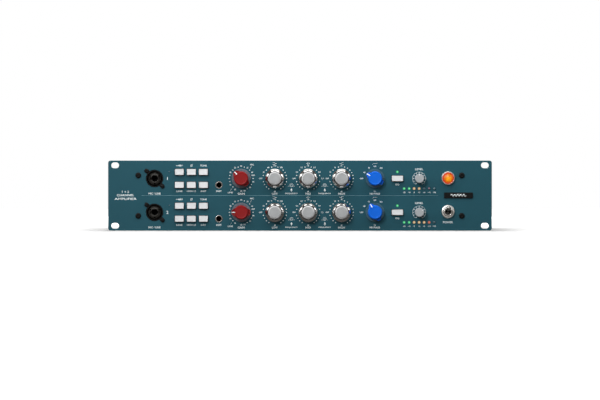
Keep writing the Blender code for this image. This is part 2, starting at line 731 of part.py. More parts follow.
def make_main_board():
    """Board on four posts, with each channel's transformers, capacitors and chips, and the supply's own."""
    bm = bmesh.new()
    top = MAIN_BOARD_Z + BOARD_THICKNESS
    block(bm, MAIN_BOARD_X, MAIN_BOARD_Y, (MAIN_BOARD_Z, top))
    board = make_part("main_board", bm, "green_board")
    parts = bmesh.new()
    seat = MAIN_BOARD_Z + BOARD_THICKNESS / 2
    for x in (MAIN_BOARD_X[0] + 8.0, MAIN_BOARD_X[1] - 8.0):
        for y in (MAIN_BOARD_Y[0] + 8.0, MAIN_BOARD_Y[1] - 8.0):
            upright(parts, x, y, [(FLOOR + GAP, 3.0), (seat, 3.0)], 10)
    for x in (-170.0, -80.0):
        block(parts, (x - 12.0, x + 12.0), (78.0, 102.0), (seat, top + 20.0))
        block(parts, (x - 15.0, x + 15.0), (125.0, 155.0), (seat, top + 26.0))
        for offset in (22.0, 36.0):
            upright(parts, x + offset, 90.0, [(seat, 5.0), (top + 16.0, 5.0)], 12)
            block(parts, (x + offset - 4.0, x + offset + 4.0), (110.0, 120.0), (seat, top + 4.0))
            block(parts, (x + offset - 5.0, x + offset + 5.0), (130.0, 150.0), (seat, top + 10.0))
    for x in (10.0, 40.0):
        upright(parts, x, 140.0, [(seat, 12.5), (top + 30.0, 12.5)], 16)
        block(parts, (x - 8.0, x + 8.0), (80.0, 84.0), (seat, top + 24.0))
    combine(board, parts, "UNION", "main_parts")


def make_mains_transformer():
    """Wound ring bolted down through a dished washer."""
    base = FLOOR + GAP
    top = base + TOROID_HEIGHT
    bm = bmesh.new()
    upright(bm, TOROID_X, TOROID_Y, [
        (base, TOROID_RADIUS - 4.0), (base + 4.0, TOROID_RADIUS), (top - 4.0, TOROID_RADIUS),
        (top, TOROID_RADIUS - 4.0), (top, 26.0), (top + 1.5, 24.0), (top + 1.5, 5.0), (top + 6.0, 5.0),
    ], 20)
    make_part("mains_transformer", bm, "copper_winding")


def build():
    for item in list(bpy.data.objects):
        bpy.data.objects.remove(item, do_unlink=True)
    origin = bpy.data.objects.new("panel_face_middle", None)
    bpy.context.collection.objects.link(origin)
    origin.location = Vector((0, FACE_Y, FACE_Z)) * MM
    make_front_panel()
    make_panel_screws()
    make_mic_inputs()
    make_instrument_jacks()
    make_lamp()
    make_power_switch()
    make_badge()
    make_lights()
    make_buttons()
    make_knobs()
    make_tray()
    make_cover()
    make_rear_panel()
    make_line_outputs()
    make_mains_inlet()
    make_control_board()
    make_main_board()
    make_mains_transformer()


build()
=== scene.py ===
"""Looks of the microphone preamp: fine pieces, print, materials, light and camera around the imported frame.

Sizes are in millimetres, and on the stage in metres. Places count from the middle of the front panel's face:
x to the right, z up, and y behind the face, so what stands out in front has a negative y. A turn is in
degrees clockwise from the top, seen from the front. A profile is a list of pairs of y and radius.
"""

import json
from math import atan2, cos, hypot, pi, radians, sin

import bmesh
import bpy
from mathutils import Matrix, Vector


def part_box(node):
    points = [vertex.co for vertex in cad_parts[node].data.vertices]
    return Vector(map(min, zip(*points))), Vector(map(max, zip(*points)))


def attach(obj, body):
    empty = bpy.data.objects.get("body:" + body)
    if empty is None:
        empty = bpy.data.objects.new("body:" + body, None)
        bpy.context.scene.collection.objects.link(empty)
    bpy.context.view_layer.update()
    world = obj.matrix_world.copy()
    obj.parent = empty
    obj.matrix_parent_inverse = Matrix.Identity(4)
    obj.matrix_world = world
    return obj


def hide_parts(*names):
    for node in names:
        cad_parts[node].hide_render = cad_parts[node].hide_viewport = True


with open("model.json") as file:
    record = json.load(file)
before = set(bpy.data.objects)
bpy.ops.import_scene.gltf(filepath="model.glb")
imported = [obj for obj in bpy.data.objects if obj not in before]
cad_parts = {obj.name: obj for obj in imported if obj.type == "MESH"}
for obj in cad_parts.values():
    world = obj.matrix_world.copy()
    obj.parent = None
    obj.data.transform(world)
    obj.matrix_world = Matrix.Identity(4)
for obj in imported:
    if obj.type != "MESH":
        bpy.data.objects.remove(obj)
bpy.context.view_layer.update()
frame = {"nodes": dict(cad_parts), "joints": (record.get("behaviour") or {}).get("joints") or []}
MM = 0.001

PANEL_LOW, PANEL_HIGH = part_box("front_panel")
FACE = Vector(((PANEL_LOW.x + PANEL_HIGH.x) / 2, PANEL_LOW.y, (PANEL_LOW.z + PANEL_HIGH.z) / 2))
PANEL_WIDTH, PANEL_THICKNESS, PANEL_HEIGHT = (PANEL_HIGH - PANEL_LOW) / MM
JOINTS = {joint["name"]: joint for joint in frame["joints"]}
CASE = "case"
BANDS = ("low", "mid", "high")
CHANNELS = (1, 2)

# Lowest turn of each kind of control, from which its rest turn follows.
LOWEST_TURN = {"gain": -150, "highpass": -90, "level": -150, "boost": -150, "frequency": -90}


# ---- Where things are ------------------------------------

def local(point):
    """A point of the frame, in millimetres from the middle of the panel's face."""
    return (Vector(point) - FACE) / MM


def middle(node):
    low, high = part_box(node)
    place = local((low + high) / 2)
    return place.x, place.z


def limits(node):
    low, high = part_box(node)
    return local(low), local(high)

def extent(node):
    """A node's width and height."""
    low, high = limits(node)
    return high.x - low.x, high.z - low.z


def pivot(joint):
    place = local(JOINTS[joint]["pos_m"])
    return place.x, place.z


def rest_turn(joint, kind):
    return LOWEST_TURN[kind] - JOINTS[joint]["range_deg"][0]


SLOT_SPACING = (465.1, 76.2)
METER_PITCH = 6.3
METER_COUNT = 7
BUTTONS = ("phantom", "polarity", "tone", "line", "impedance", "instrument", "eq")


def slot_places():
    return [(sx * SLOT_SPACING[0] / 2, sz * SLOT_SPACING[1] / 2) for sx in (-1, 1) for sz in (-1, 1)]


def button_nodes():
    return [f"{kind}_button_{channel}" for channel in CHANNELS for kind in BUTTONS]


def meter_places(channel):
    x, z = middle(f"meter_lights_{channel}")
    return [(x + METER_PITCH * (i - (METER_COUNT - 1) / 2), z) for i in range(METER_COUNT)]


# ---- Shapes ----------------------------------------------

PRINT_PROUD = 0.03
PRINT_DEPTH = 0.1


def even_angles(count, start=0.0):
    return [start + 2 * pi * i / count for i in range(count)]


def loop(y, radius, angles):
    """Points around the Y axis. The radius, and y too, is a number or a function of the angle."""
    points = []
    for angle in angles:
        reach = radius(angle) if callable(radius) else radius
        depth = y(angle) if callable(y) else y
        points.append(Vector((reach * sin(angle), depth, reach * cos(angle))))
    return points


def rectangle(y, width, height, corner=0.0, steps=6):
    """Points of a rectangle around the Y axis, with rounded corners if it has any."""
    half_x = width / 2
    half_z = height / 2
    quarters = ((1, 1), (1, -1), (-1, -1), (-1, 1))
    if not corner:
        return [Vector((sx * half_x, y, sz * half_z)) for sx, sz in quarters]
    points = []
    for quarter, (sx, sz) in enumerate(quarters):
        for i in range(steps + 1):
            angle = (quarter + i / steps) * pi / 2
            x = sx * (half_x - corner) + corner * sin(angle)
            z = sz * (half_z - corner) + corner * cos(angle)
            points.append(Vector((x, y, z)))
    return points


def skin(bm, loops, closed=False, at=(0, 0, 0)):
    """Join a stack of equally long loops into one body: a ring if closed, or else capped at its ends."""
    shift = Vector(at)
    rings = [[bm.verts.new((point + shift) * MM) for point in points] for points in loops]
    pairs = list(zip(rings, rings[1:]))
    if closed:
        pairs.append((rings[-1], rings[0]))
    for near, far in pairs:
        for i in range(len(near)):
            j = (i + 1) % len(near)
            bm.faces.new((near[i], near[j], far[j], far[i]))
    if not closed:
        bm.faces.new(rings[0])
        bm.faces.new(rings[-1])


def slab(bm, width, height, depths, corner=0.0, steps=6, at=(0, 0)):
    """A rectangle, with rounded corners if it has any, drawn out between two depths."""
    skin(bm, [rectangle(y, width, height, corner, steps) for y in depths], at=(at[0], 0, at[1]))


def block(bm, x, y, z):
    slab(bm, x[1] - x[0], z[1] - z[0], y, at=((x[0] + x[1]) / 2, (z[0] + z[1]) / 2))


def turned(bm, profile, count=64, closed=False, at=(0, 0, 0), angles=None):
    """A body around the Y axis, round unless a radius or y of its profile is a function of the angle."""
    angles = angles or even_angles(count)
    skin(bm, [loop(y, radius, angles) for y, radius in profile], closed, at)


def rod(bm, x, z, radius, depths, count=32):
    turned(bm, [(y, radius) for y in depths], count, at=(x, 0, z))


def prism(bm, outline, at=(0, 0), back=PRINT_DEPTH, front=-PRINT_PROUD):
    """A flat shape on the panel's face, from points in x and z."""
    loops = [[Vector((x, y, z)) for x, z in outline] for y in (back, front)]
    skin(bm, loops, at=(at[0], 0, at[1]))


def band(bm, points, width, at=(0, 0), **depths):
    """A line of even width along points in x and z."""
    left, right = [], []
    for i, (x, z) in enumerate(points):
        before = points[max(i - 1, 0)]
        after = points[min(i + 1, len(points) - 1)]
        length = hypot(after[0] - before[0], after[1] - before[1])
        across = (-(after[1] - before[1]) / length * width / 2, (after[0] - before[0]) / length * width / 2)
        left.append((x + across[0], z + across[1]))
        right.append((x - across[0], z - across[1]))
    prism(bm, left + right[::-1], at, **depths)


def strip(bm, half, sections):
    """A line laid over a slope, from pairs of points in y and z: one on its top, one on its underside."""
    skin(bm, [
        [Vector((side * half, y, z)) for side, (y, z) in ((-1, top), (1, top), (1, low), (-1, low))]
        for top, low in sections
    ])


def polar(radius, turn):
    return radius * sin(radians(turn)), radius * cos(radians(turn))


def arc(radius, first, last, steps=24):
    return [polar(radius, first + (last - first) * i / steps) for i in range(steps + 1)]


# ---- Objects ---------------------------------------------

SHARP_ANGLE = 35


def new_object(name, bm, at=(0, 0), depth=0.0, turn=0.0, tilt=0.0):
    bmesh.ops.recalc_face_normals(bm, faces=bm.faces)
    mesh = bpy.data.meshes.new(name)
    bm.to_mesh(mesh)
    bm.free()
    mesh.shade_smooth()
    item = bpy.data.objects.new(name, mesh)
    bpy.context.collection.objects.link(item)
    item.location = FACE + Vector((at[0], depth, at[1])) * MM
    item.rotation_euler = (radians(tilt), radians(turn), 0)
    return item


def freeze(item):
    """Make the shape that the modifiers give the object's own mesh."""
    shape = bpy.data.meshes.new_from_object(item.evaluated_get(bpy.context.evaluated_depsgraph_get()))
    item.modifiers.clear()
    item.data = shape


def combine(item, bm, operation="DIFFERENCE"):
    """Cut the bodies of a helper at the object's place out of the object, or join them to it."""
    helper = new_object("helper", bm)
    helper.location = item.location
    modifier = item.modifiers.new("combine", "BOOLEAN")
    modifier.operation = operation
    modifier.solver = "EXACT"
    modifier.object = helper
    freeze(item)
    bpy.data.objects.remove(helper, do_unlink=True)


def soften(item, width, segments=3):
    """Round every sharp edge over a width in millimetres."""
    modifier = item.modifiers.new("edges", "BEVEL")
    modifier.width = width * MM
    modifier.segments = segments
    modifier.limit_method = "ANGLE"
    modifier.angle_limit = radians(SHARP_ANGLE)
    modifier.harden_normals = True
    modifier.use_clamp_overlap = True


def finish(item, body, look, stands_for=(), edge=0.0, segments=3):
    """Give a piece its material, its rounded edges, the body it moves with and the nodes it stands for."""
    item.data.materials.clear()
    item.data.materials.append(LOOKS[look])
    if edge:
        soften(item, edge, segments)
    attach(item, body)
    if stands_for:
        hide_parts(*stands_for)


def piece(name, bm, at, body, look, slot, stands_for=(), edge=0.0, segments=3, **pose):
    finish(new_object(name, bm, at, **pose), body, look, stands_for, edge, segments)


def turned_piece(name, profile, count, at, body, look, slot, stands_for=(), closed=False, **settings):
    bm = bmesh.new()
    turned(bm, profile, count, closed)
    piece(name, bm, at, body, look, slot, stands_for, **settings)


# ---- Materials -------------------------------------------

LOOKS = {}
WHITE = (0.75, 0.765, 0.785)
WORN_LIGHTER = 1.6
FACET_SHADE_DIRECTION = (17.0, 0.0, 23.0)
STANDOFF = 6.0
BOARD_THICKNESS = 1.6

# Places of the colour sockets among a mix node's inputs and outputs.
COLOUR_INPUTS = (6, 7)
COLOUR_OUTPUT = 2


def screen(red, green, blue):
    """Linear colour from a screen colour in 0 to 255."""
    values = (red / 255, green / 255, blue / 255)
    return tuple(v / 12.92 if v <= 0.04045 else ((v + 0.055) / 1.055) ** 2.4 for v in values)


class Nodes:
    """The node tree of a material or the world, with short ways to add the nodes that the looks share."""

    def __init__(self, owner, place="Object"):
        owner.use_nodes = True
        self.owner = owner
        self.tree = owner.node_tree
        self.place = self.add("ShaderNodeTexCoord").outputs[place]

    def add(self, kind, *inputs, **settings):
        """Add a node, and give its first inputs a value or another node's output each."""
        node = self.tree.nodes.new(kind)
        for key, value in settings.items():
            setattr(node, key, value)
        for socket, value in zip(node.inputs, inputs):
            self.fill(socket, value)
        return node

    def fill(self, socket, value):
        if isinstance(value, bpy.types.NodeSocket):
            self.tree.links.new(value, socket)
        else:
            socket.default_value = value

    def math(self, operation, *values):
        return self.add("ShaderNodeMath", *values, operation=operation).outputs[0]

    def vector_math(self, operation, *values):
        result = "Value" if operation in ("LENGTH", "DOT_PRODUCT") else "Vector"
        return self.add("ShaderNodeVectorMath", *values, operation=operation).outputs[result]

    def axes(self):
        """The outputs X, Y and Z of the place."""
        return self.add("ShaderNodeSeparateXYZ", self.place).outputs

    def noise(self, scale, detail=3.0, stretch=(1, 1, 1)):
        mapping = self.add("ShaderNodeMapping", self.place)
        mapping.inputs["Scale"].default_value = stretch
        noise = self.add("ShaderNodeTexNoise", mapping.outputs["Vector"])
        noise.inputs["Scale"].default_value = scale
        noise.inputs["Detail"].default_value = detail
        return noise.outputs["Fac"]

    def spread(self, value, low, high, start=0.3, end=0.7):
        """Stretch a value's range from start and end to low and high."""
        return self.add("ShaderNodeMapRange", value, start, end, low, high).outputs["Result"]

    def mix(self, factor, first, second):
        mix = self.add("ShaderNodeMix", factor, data_type="RGBA")
        for number, colour in zip(COLOUR_INPUTS, (first, second)):
            self.fill(mix.inputs[number], (*colour, 1.0) if isinstance(colour, tuple) else colour)
        return mix.outputs[COLOUR_OUTPUT]

    def bump(self, height, distance, strength=1.0):
        bump = self.add("ShaderNodeBump")
        bump.inputs["Strength"].default_value = strength
        bump.inputs["Distance"].default_value = distance * MM
        self.fill(bump.inputs["Height"], height)
        return bump.outputs["Normal"]

    def edges(self, low=0.53, high=0.62):
        """One on worn outer edges, and zero elsewhere."""
        point = self.add("ShaderNodeNewGeometry").outputs["Pointiness"]
        return self.spread(point, 0.0, 1.0, low, high)

    def rim(self, size, start=0.7, full=0.2, patch=60.0):
        """One along the outer edges of a plate in the XZ plane around its origin, fading in patches."""
        places = self.axes()
        nearest = []
        for axis, length in zip("XZ", size):
            reach = self.math("ABSOLUTE", places[axis])
            nearest.append(self.spread(reach, 0.0, 1.0, (length / 2 - start) * MM, (length / 2 - full) * MM))
        patches = self.spread(self.noise(patch), 0.3, 1.0)
        return self.math("MULTIPLY", self.math("MAXIMUM", *nearest), patches)

    def set(self, **sockets):
        """Fill the inputs of the material's shader."""
        shader = self.tree.nodes["Principled BSDF"]
        for name, value in sockets.items():
            value = (*value, 1.0) if isinstance(value, tuple) else value
            self.fill(shader.inputs[name.replace("_", " ")], value)


def shade(colour, factor):
    return tuple(min(1.0, part * factor) for part in colour)


def new_look(name):
    nodes = Nodes(bpy.data.materials.new(name))
    LOOKS[name] = nodes.owner
    return nodes


def plain(name, colour, roughness, metallic=0.0, mottle=0.06, patch=90.0, grain=2600.0, depth=0.012,
          wear=0.25, plate=None, **sockets):
    """A finish with slow colour and gloss variation, a fine grain, and edges worn a little lighter.

    On a flat plate whose size is given, only the outer rim is worn.
    """
    nodes = new_look(name)
    patches = nodes.spread(nodes.noise(patch), 0.0, 1.0)
    tone = nodes.mix(patches, shade(colour, 1 - mottle), shade(colour, 1 + mottle))
    worn = nodes.rim(plate) if plate else nodes.edges()
    rubbed = nodes.mix(nodes.spread(worn, 0.0, wear, 0.0, 1.0), tone, shade(colour, WORN_LIGHTER))
    gloss = nodes.spread(nodes.noise(patch * 7, 4.0), roughness - 0.05, roughness + 0.07)
    relief = nodes.bump(nodes.noise(grain, 2.0), depth)
    nodes.set(Base_Color=rubbed, Roughness=gloss, Normal=relief, Metallic=metallic)
    nodes.set(**sockets)


def glowing(name, core, rim, radius, strength, power=1.5, facets=0.0):
    """A lit lens: its light goes from the core's colour to the rim's with the distance from the lens's axis.

    On a faceted lens some facets are painted darker than others by the way they face, as painted shade for
    the lamp's light that the facets bend away.
    """
    nodes = new_look(name)
    length = nodes.vector_math("LENGTH", nodes.vector_math("MULTIPLY", nodes.place, (1.0, 0.0, 1.0)))
    reach = nodes.spread(length, 0.0, 1.0, 0.0, radius * MM)
    light = nodes.mix(nodes.math("POWER", reach, power), core, rim)
    if facets:
        # Painted shade: facets are darkened by the direction that they face.
        normal = nodes.add("ShaderNodeNewGeometry").outputs["True Normal"]
        wave = nodes.math("SINE", nodes.vector_math("DOT_PRODUCT", normal, FACET_SHADE_DIRECTION))
        light = nodes.mix(nodes.spread(wave, 0.0, facets, -1.0, 1.0), light, shade(rim, 0.8))
    tone = nodes.mix(nodes.spread(nodes.noise(900.0), 0.0, 1.0), shade(rim, 0.3), shade(rim, 0.4))
    nodes.set(
        Base_Color=tone, Roughness=nodes.spread(nodes.noise(500.0), 0.12, 0.25), Emission_Color=light,
        Emission_Strength=strength, Normal=nodes.bump(nodes.noise(2000.0), 0.01),
    )


def board(name, board_top):
    """Solder mask with tracks, and darker parts above the board's surface."""
    nodes = new_look(name)
    tracks = nodes.add("ShaderNodeTexBrick", nodes.place)
    tracks.inputs["Scale"].default_value = 90.0
    tracks.inputs["Mortar Size"].default_value = 0.03
    mask = nodes.mix(tracks.outputs["Fac"], screen(18, 92, 52), screen(60, 132, 84))
    kinds = nodes.spread(nodes.noise(25.0, 1.0), 0.0, 1.0, 0.45, 0.55)
    parts = nodes.mix(kinds, screen(30, 30, 34), screen(120, 122, 126))
    height = nodes.spread(nodes.axes()["Z"], 0.0, 1.0, board_top, board_top + 0.5 * MM)
    nodes.set(
        Base_Color=nodes.mix(height, mask, parts), Roughness=nodes.spread(nodes.noise(300.0), 0.35, 0.55),
        Normal=nodes.bump(nodes.noise(1500.0), 0.02),
    )


def winding(name):
    """Copper wire wound round a ring, under a clear varnish."""
    nodes = new_look(name)
    wires = nodes.noise(260.0, 2.0, (1, 1, 0.15))
    tone = nodes.mix(nodes.spread(wires, 0.0, 1.0), screen(120, 62, 30), screen(196, 120, 70))
    nodes.set(
        Base_Color=tone, Metallic=0.6, Roughness=nodes.spread(nodes.noise(400.0), 0.3, 0.5),
        Normal=nodes.bump(wires, 0.2),
    )


def lathe_metal(name, colour, roughness, rings=900.0, depth=0.004):
    """Polished metal with fine concentric tool marks and faint smudges."""
    nodes = new_look(name)
    marks = nodes.add("ShaderNodeTexWave", nodes.place, wave_type="RINGS", rings_direction="Y")
    marks.inputs["Scale"].default_value = rings
    marks.inputs["Distortion"].default_value = 0.6
    smudge = nodes.noise(220.0, 4.0)
    nodes.set(
        Base_Color=nodes.mix(nodes.spread(smudge, 0.0, 1.0), shade(colour, 0.94), colour), Metallic=1.0,
        Roughness=nodes.spread(smudge, roughness - 0.03, roughness + 0.05),
        Normal=nodes.bump(marks.outputs["Fac"], depth, 0.5),
    )


plain("teal", screen(33, 81, 94), 0.45, mottle=0.03, patch=14.0, grain=1500.0, depth=0.010, wear=0.15,
      plate=(PANEL_WIDTH, PANEL_HEIGHT), Specular_IOR_Level=0.15)
plain("print", screen(238, 250, 255), 0.5, mottle=0.04, grain=4000.0)
plain("faint_print", screen(108, 150, 162), 0.5, mottle=0.04, grain=4000.0)
plain("button", WHITE, 0.33, mottle=0.03, patch=60.0, grain=3500.0, depth=0.006)
plain("red", screen(140, 22, 24), 0.40, grain=2400.0, Specular_IOR_Level=0.2)
plain("blue", screen(8, 104, 224), 0.36, grain=2400.0, Specular_IOR_Level=0.2)
plain("grey", screen(167, 170, 172), 0.5, grain=3200.0, depth=0.010)
plain("pale_grey", screen(205, 206, 207), 0.4, grain=3200.0, depth=0.010)
plain("silver", screen(174, 180, 184), 0.42, metallic=0.2, grain=3200.0)
plain("black", screen(13, 14, 15), 0.42, mottle=0.2, grain=1900.0, depth=0.02, wear=0.15,
      Specular_IOR_Level=0.15)
plain("insert", screen(45, 44, 41), 0.45, mottle=0.12, grain=1900.0, depth=0.02, wear=0.15,
      Specular_IOR_Level=0.3)
# Near-black, darker than the black plastic. On the jack body it is the part's own black, deepened as painted
# shade in the socket; on the ring's index line it is a dark mark; on the mic bore's floor, the toggle's seal
# and the ring wells it is painted shade inside holes and gaps.
plain("hollow", screen(4, 4, 5), 0.7, mottle=0.3, wear=0.0, Specular_IOR_Level=0.1)
plain("screw_black", screen(9, 10, 11), 0.48, grain=1600.0, depth=0.02, Specular_IOR_Level=0.2)
plain("smoke", screen(92, 99, 110), 0.26, mottle=0.03, grain=3000.0, depth=0.004)
plain("clear", screen(53, 89, 104), 0.22, mottle=0.03, grain=3000.0, depth=0.004)
lathe_metal("chrome", (0.80, 0.785, 0.765), 0.13)
# Painted reflection: the toggle lever's chrome is made darker than the other chrome to stand for the dark
# surroundings that it reflects.
lathe_metal("chrome_painted_dark_reflection", (0.40, 0.40, 0.38), 0.12)
lathe_metal("satin", (0.90, 0.88, 0.85), 0.38)
lathe_metal("nickel", (0.72, 0.71, 0.69), 0.22, 600.0, 0.006)
plain("zinc", (0.50, 0.51, 0.52), 0.40, metallic=0.9, mottle=0.12, patch=45.0, grain=900.0, depth=0.01)
plain("cover", screen(42, 43, 46), 0.5, mottle=0.08, grain=1100.0, depth=0.05)
lathe_metal("pin", (0.72, 0.70, 0.66), 0.2)
plain("unlit", screen(108, 138, 152), 0.25, mottle=0.1, wear=0.0, Transmission_Weight=0.3)
plain("unlit_red", screen(146, 124, 140), 0.25, mottle=0.1, wear=0.0, Transmission_Weight=0.3)
glowing("green_light", screen(126, 238, 172), screen(10, 140, 70), 1.7, 0.95)
glowing("amber_light", screen(222, 214, 182), screen(188, 128, 60), 1.7, 0.85)
glowing("red_light", screen(192, 142, 124), screen(178, 70, 50), 1.7, 0.8)
glowing("jewel", screen(255, 194, 22), screen(178, 40, 10), 6.4, 1.1, power=1.3, facets=0.6)
board("board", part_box("main_board")[0].z + (STANDOFF + BOARD_THICKNESS) * MM)
winding("winding")


# ---- Print -----------------------------------------------

WORD_SHAPES = {}
FINE_LINE = 0.3
CURVE_LINE = 0.32
DOT_RADIUS = 0.62
DIAL_RADIUS = 14.9
GAIN_NUMBER_RADIUS = 15.7
NUMBER_RADIUS = 16.2
SIDE_NUMBER_RADIUS = 17.8
DIAL_STEP = 15
GAIN_LABELS = {
    -150: "20", -120: "10", -60: "20", -30: "25", 0: "30", 30: "35", 60: "40", 75: "OFF", 105: "45",
    135: "50", 165: "55", 180: "60",
}
FREQUENCY_LABELS = {
    "low": {-90: "OFF", -60: "35", -30: "60", 0: "110", 30: "220"},
    "mid": {-90: "OFF", -60: "0.4", -30: "0.7", 0: "1.6", 30: "3.2", 60: "4.8", 90: "7.2"},
    "high": {-90: "OFF", -60: "10", -30: "12", 0: "16"},
}
HIGHPASS_LABELS = {-90: "OFF", -60: "45", -30: "70", 0: "160", 30: "360"}
METER_LABELS = ("-20", "-10", "0", "+3", "+6", "+12", "+18")

# Words around a control: text, place right of and above its middle, height, and width if it is stretched.
GAIN_WORDS = (
    ("MIC", 13.6, 17.4, 1.9, 4.9), ("LINE", -13.6, -17.5, 1.9, 6.2), ("GAIN", 0, -19.1, 2.5, 8.6),
)
GAIN_ARROWS = (((11.0, 12.4), (13.0, 15.2)), ((-13.6, -15.2), (-11.8, -12.8)))
BOOST_WORDS = (("dB", 0, -16.3, 1.6, None),)
BAND_WORDS = {
    "low": (("LOW", 0, -19.1, 2.5, 7.0),), "mid": (("MID", 0, -19.1, 2.5, 6.6),),
    "high": (("HIGH", 0, -19.1, 2.5, 8.4),),
}
HIGHPASS_WORDS = (("Hz", 0, -16.0, 1.6, None), ("HI PASS", 0, -19.1, 2.3, 12.8))
LEVEL_WORDS = (("LEVEL", 0, 11.7, 2.4, 10.2),)
LINK_WORDS = (("FREQUENCY", 0, -18.9, 1.7, 15.6),)
BUTTON_WORDS = {
    "phantom": (("+48V", 0, 8.1, 2.0, 8.6),), "tone": (("TONE", 0, 8.1, 2.0, 8.2),),
    "line": (("LINE", 0, -7.8, 2.0, 7.6),), "impedance": (("HIGH Z", 0, -7.8, 2.0, 11.4),),
    "instrument": (("INST", 0, -7.8, 2.0, 6.6),),
}
ROW_WORDS = {
    "mic_input": (("MIC / LINE", 0, -18.9, 2.4, 15.2),), "instrument_jack": (("INST", 0, -15.9, 2.0, 6.6),),
    "eq_button": (("EQ", 0, -7.6, 2.3, 4.6),),
}
TITLE_WORDS = (
    ("1 + 2", -219.4, 4.7, 2.7, 8.8), ("CHANNEL", -219.4, 0.5, 2.7, 21.6),
    ("AMPLIFIER", -219.4, -4.1, 2.7, 27.7),
)
POWER_WORDS = (("POWER", 0, -13.3, 2.6, 12.4),)
CHANNEL_NUMBER_RIGHT = 16.1
CHANNEL_NUMBER_HEIGHT = 3.8
METER_NUMBER_DROP = 17.4
SMALL_HEIGHT = 1.7

# Over each band's knob, its curve, the line's width, and how far the curve's mirror image stands below it.
BAND_ICONS = {
    "low": (((-2.6, 1.1), (-0.6, 1.1), (0.8, -0.2), (2.6, -0.2)), CURVE_LINE, 0.2),
    "mid": (((-2.6, 0), (-1.2, 0.2), (0, 1.7), (1.2, 0.2), (2.6, 0)), FINE_LINE, 0.0),
    "high": (((-2.6, -0.2), (-0.8, -0.2), (0.6, 1.1), (2.6, 1.1)), CURVE_LINE, 0.2),
}
ICON_RISE = 18.9
HIGHPASS_CURVE = ((-3.2, 17.6), (-1.6, 18.9), (3.0, 18.9))
LINK_RINGS = (1.1, 2.1)
LINK_LINES = (((-4.2, -9.6), (-2.6, -9.6)), ((2.6, -9.6), (4.2, -9.6)))
LINK_ARROW = ((0, 2.4), (1.3, 0), (0, -2.4), (-1.3, 0))
POLARITY_SLASH = ((-1.5, 6.7), (1.5, 9.5))
DIVIDER = ((-199.2, 0), (173.8, 0))


def word_shape(words):
    """Points and faces of a word in the built-in letters, one unit high, with its middle at the origin."""
    if words not in WORD_SHAPES:
        curve = bpy.data.curves.new("words", "FONT")
        curve.body = words
        curve.extrude = 0.5
        curve.offset = 0.012
        curve.resolution_u = 3
        item = bpy.data.objects.new("words", curve)
        bpy.context.collection.objects.link(item)
        mesh = bpy.data.meshes.new_from_object(item.evaluated_get(bpy.context.evaluated_depsgraph_get()))
        points = [vertex.co.copy() for vertex in mesh.vertices]
        faces = [tuple(polygon.vertices) for polygon in mesh.polygons]
        bpy.data.objects.remove(item, do_unlink=True)
        low = Vector((min(p.x for p in points), min(p.y for p in points)))
        high = Vector((max(p.x for p in points), max(p.y for p in points)))
        centre = (low + high) / 2
        height = high.y - low.y
        points = [((p.x - centre.x) / height, (p.y - centre.y) / height, p.z > 0) for p in points]
        WORD_SHAPES[words] = (points, faces, (high.x - low.x) / height)
    return WORD_SHAPES[words]


def word(bm, text, x, z, height, width=None):
    """Print a word around a place, in letters of one height, stretched to a width if one is given."""
    points, faces, aspect = word_shape(text)
    across = (width / aspect) if width else height
    made = []
    for px, pz, is_front in points:
        y = -PRINT_PROUD if is_front else PRINT_DEPTH
        made.append(bm.verts.new(Vector((x + px * across, y, z + pz * height)) * MM))
    for face in faces:
        bm.faces.new([made[i] for i in face])


def words(bm, centre, rows):
    for text, right, up, height, width in rows:
        word(bm, text, centre[0] + right, centre[1] + up, height, width)


def number(bm, centre, text, radius, turn, height):
    x, z = polar(radius, turn)
    word(bm, text, centre[0] + x, centre[1] + z, height)


def dots(bm, centre, labels, last):
    """A dot at every step of a dial that has no number."""
    for turn in range(-150, last + 1, DIAL_STEP):
        if turn not in labels:
            x, z = polar(DIAL_RADIUS, turn)
            outline = [polar(DOT_RADIUS, 360 * i / 14) for i in range(14)]
            prism(bm, outline, (centre[0] + x, centre[1] + z))


def print_gain(bm, centre):
    dots(bm, centre, GAIN_LABELS, 180)
    for turn, label in GAIN_LABELS.items():
        number(bm, centre, label, GAIN_NUMBER_RADIUS, turn, 1.75)
    words(bm, centre, GAIN_WORDS)
    for arrow in GAIN_ARROWS:
        band(bm, arrow, FINE_LINE, centre)


def print_band(bm, centre, name):
    x, z = centre
    dots(bm, centre, FREQUENCY_LABELS[name], 150)
    for turn, label in FREQUENCY_LABELS[name].items():
        radius = SIDE_NUMBER_RADIUS if abs(turn) == 90 else NUMBER_RADIUS
        number(bm, centre, label, radius, turn, SMALL_HEIGHT)
    words(bm, centre, BOOST_WORDS + BAND_WORDS[name])
    curve, width, apart = BAND_ICONS[name]
    band(bm, curve, width, (x, z + ICON_RISE))
    band(bm, [(px, -pz) for px, pz in curve], width, (x, z + ICON_RISE - apart))


def print_link(bm, x, z):
    """Icon of the outer ring, an arrow down and the word under it, between two dual knobs."""
    for radius in LINK_RINGS:
        band(bm, arc(radius, 0, 350, 20), FINE_LINE, (x, z - 8.3))
    for line in LINK_LINES:
        band(bm, line, FINE_LINE, (x, z))
    prism(bm, LINK_ARROW, (x, z - 14.6))
    words(bm, (x, z), LINK_WORDS)


def print_highpass(bm, centre):
    for turn, label in HIGHPASS_LABELS.items():
        number(bm, centre, label, 15.4 if turn > -90 else 16.8, turn, 1.8)
    band(bm, HIGHPASS_CURVE, CURVE_LINE, centre)
    words(bm, centre, HIGHPASS_WORDS)


def print_level(bm, centre):
    """A scale of ticks on an arc, with the number of ticks that a volume control has."""
    for turn in range(-150, 151, 30):
        band(bm, [polar(6.5, turn), polar(8.3, turn)], 0.6, centre)
    for turn in range(-150, 150, 30):
        band(bm, arc(8.25, turn + 3, turn + 27, 6), 0.28, centre)
    words(bm, centre, LEVEL_WORDS)


def print_polarity(bm, centre):
    """A circle with a slash through it, over the button."""
    band(bm, arc(1.15, 0, 352, 24), CURVE_LINE, (centre[0], centre[1] + 8.1))
    band(bm, POLARITY_SLASH, FINE_LINE, centre)


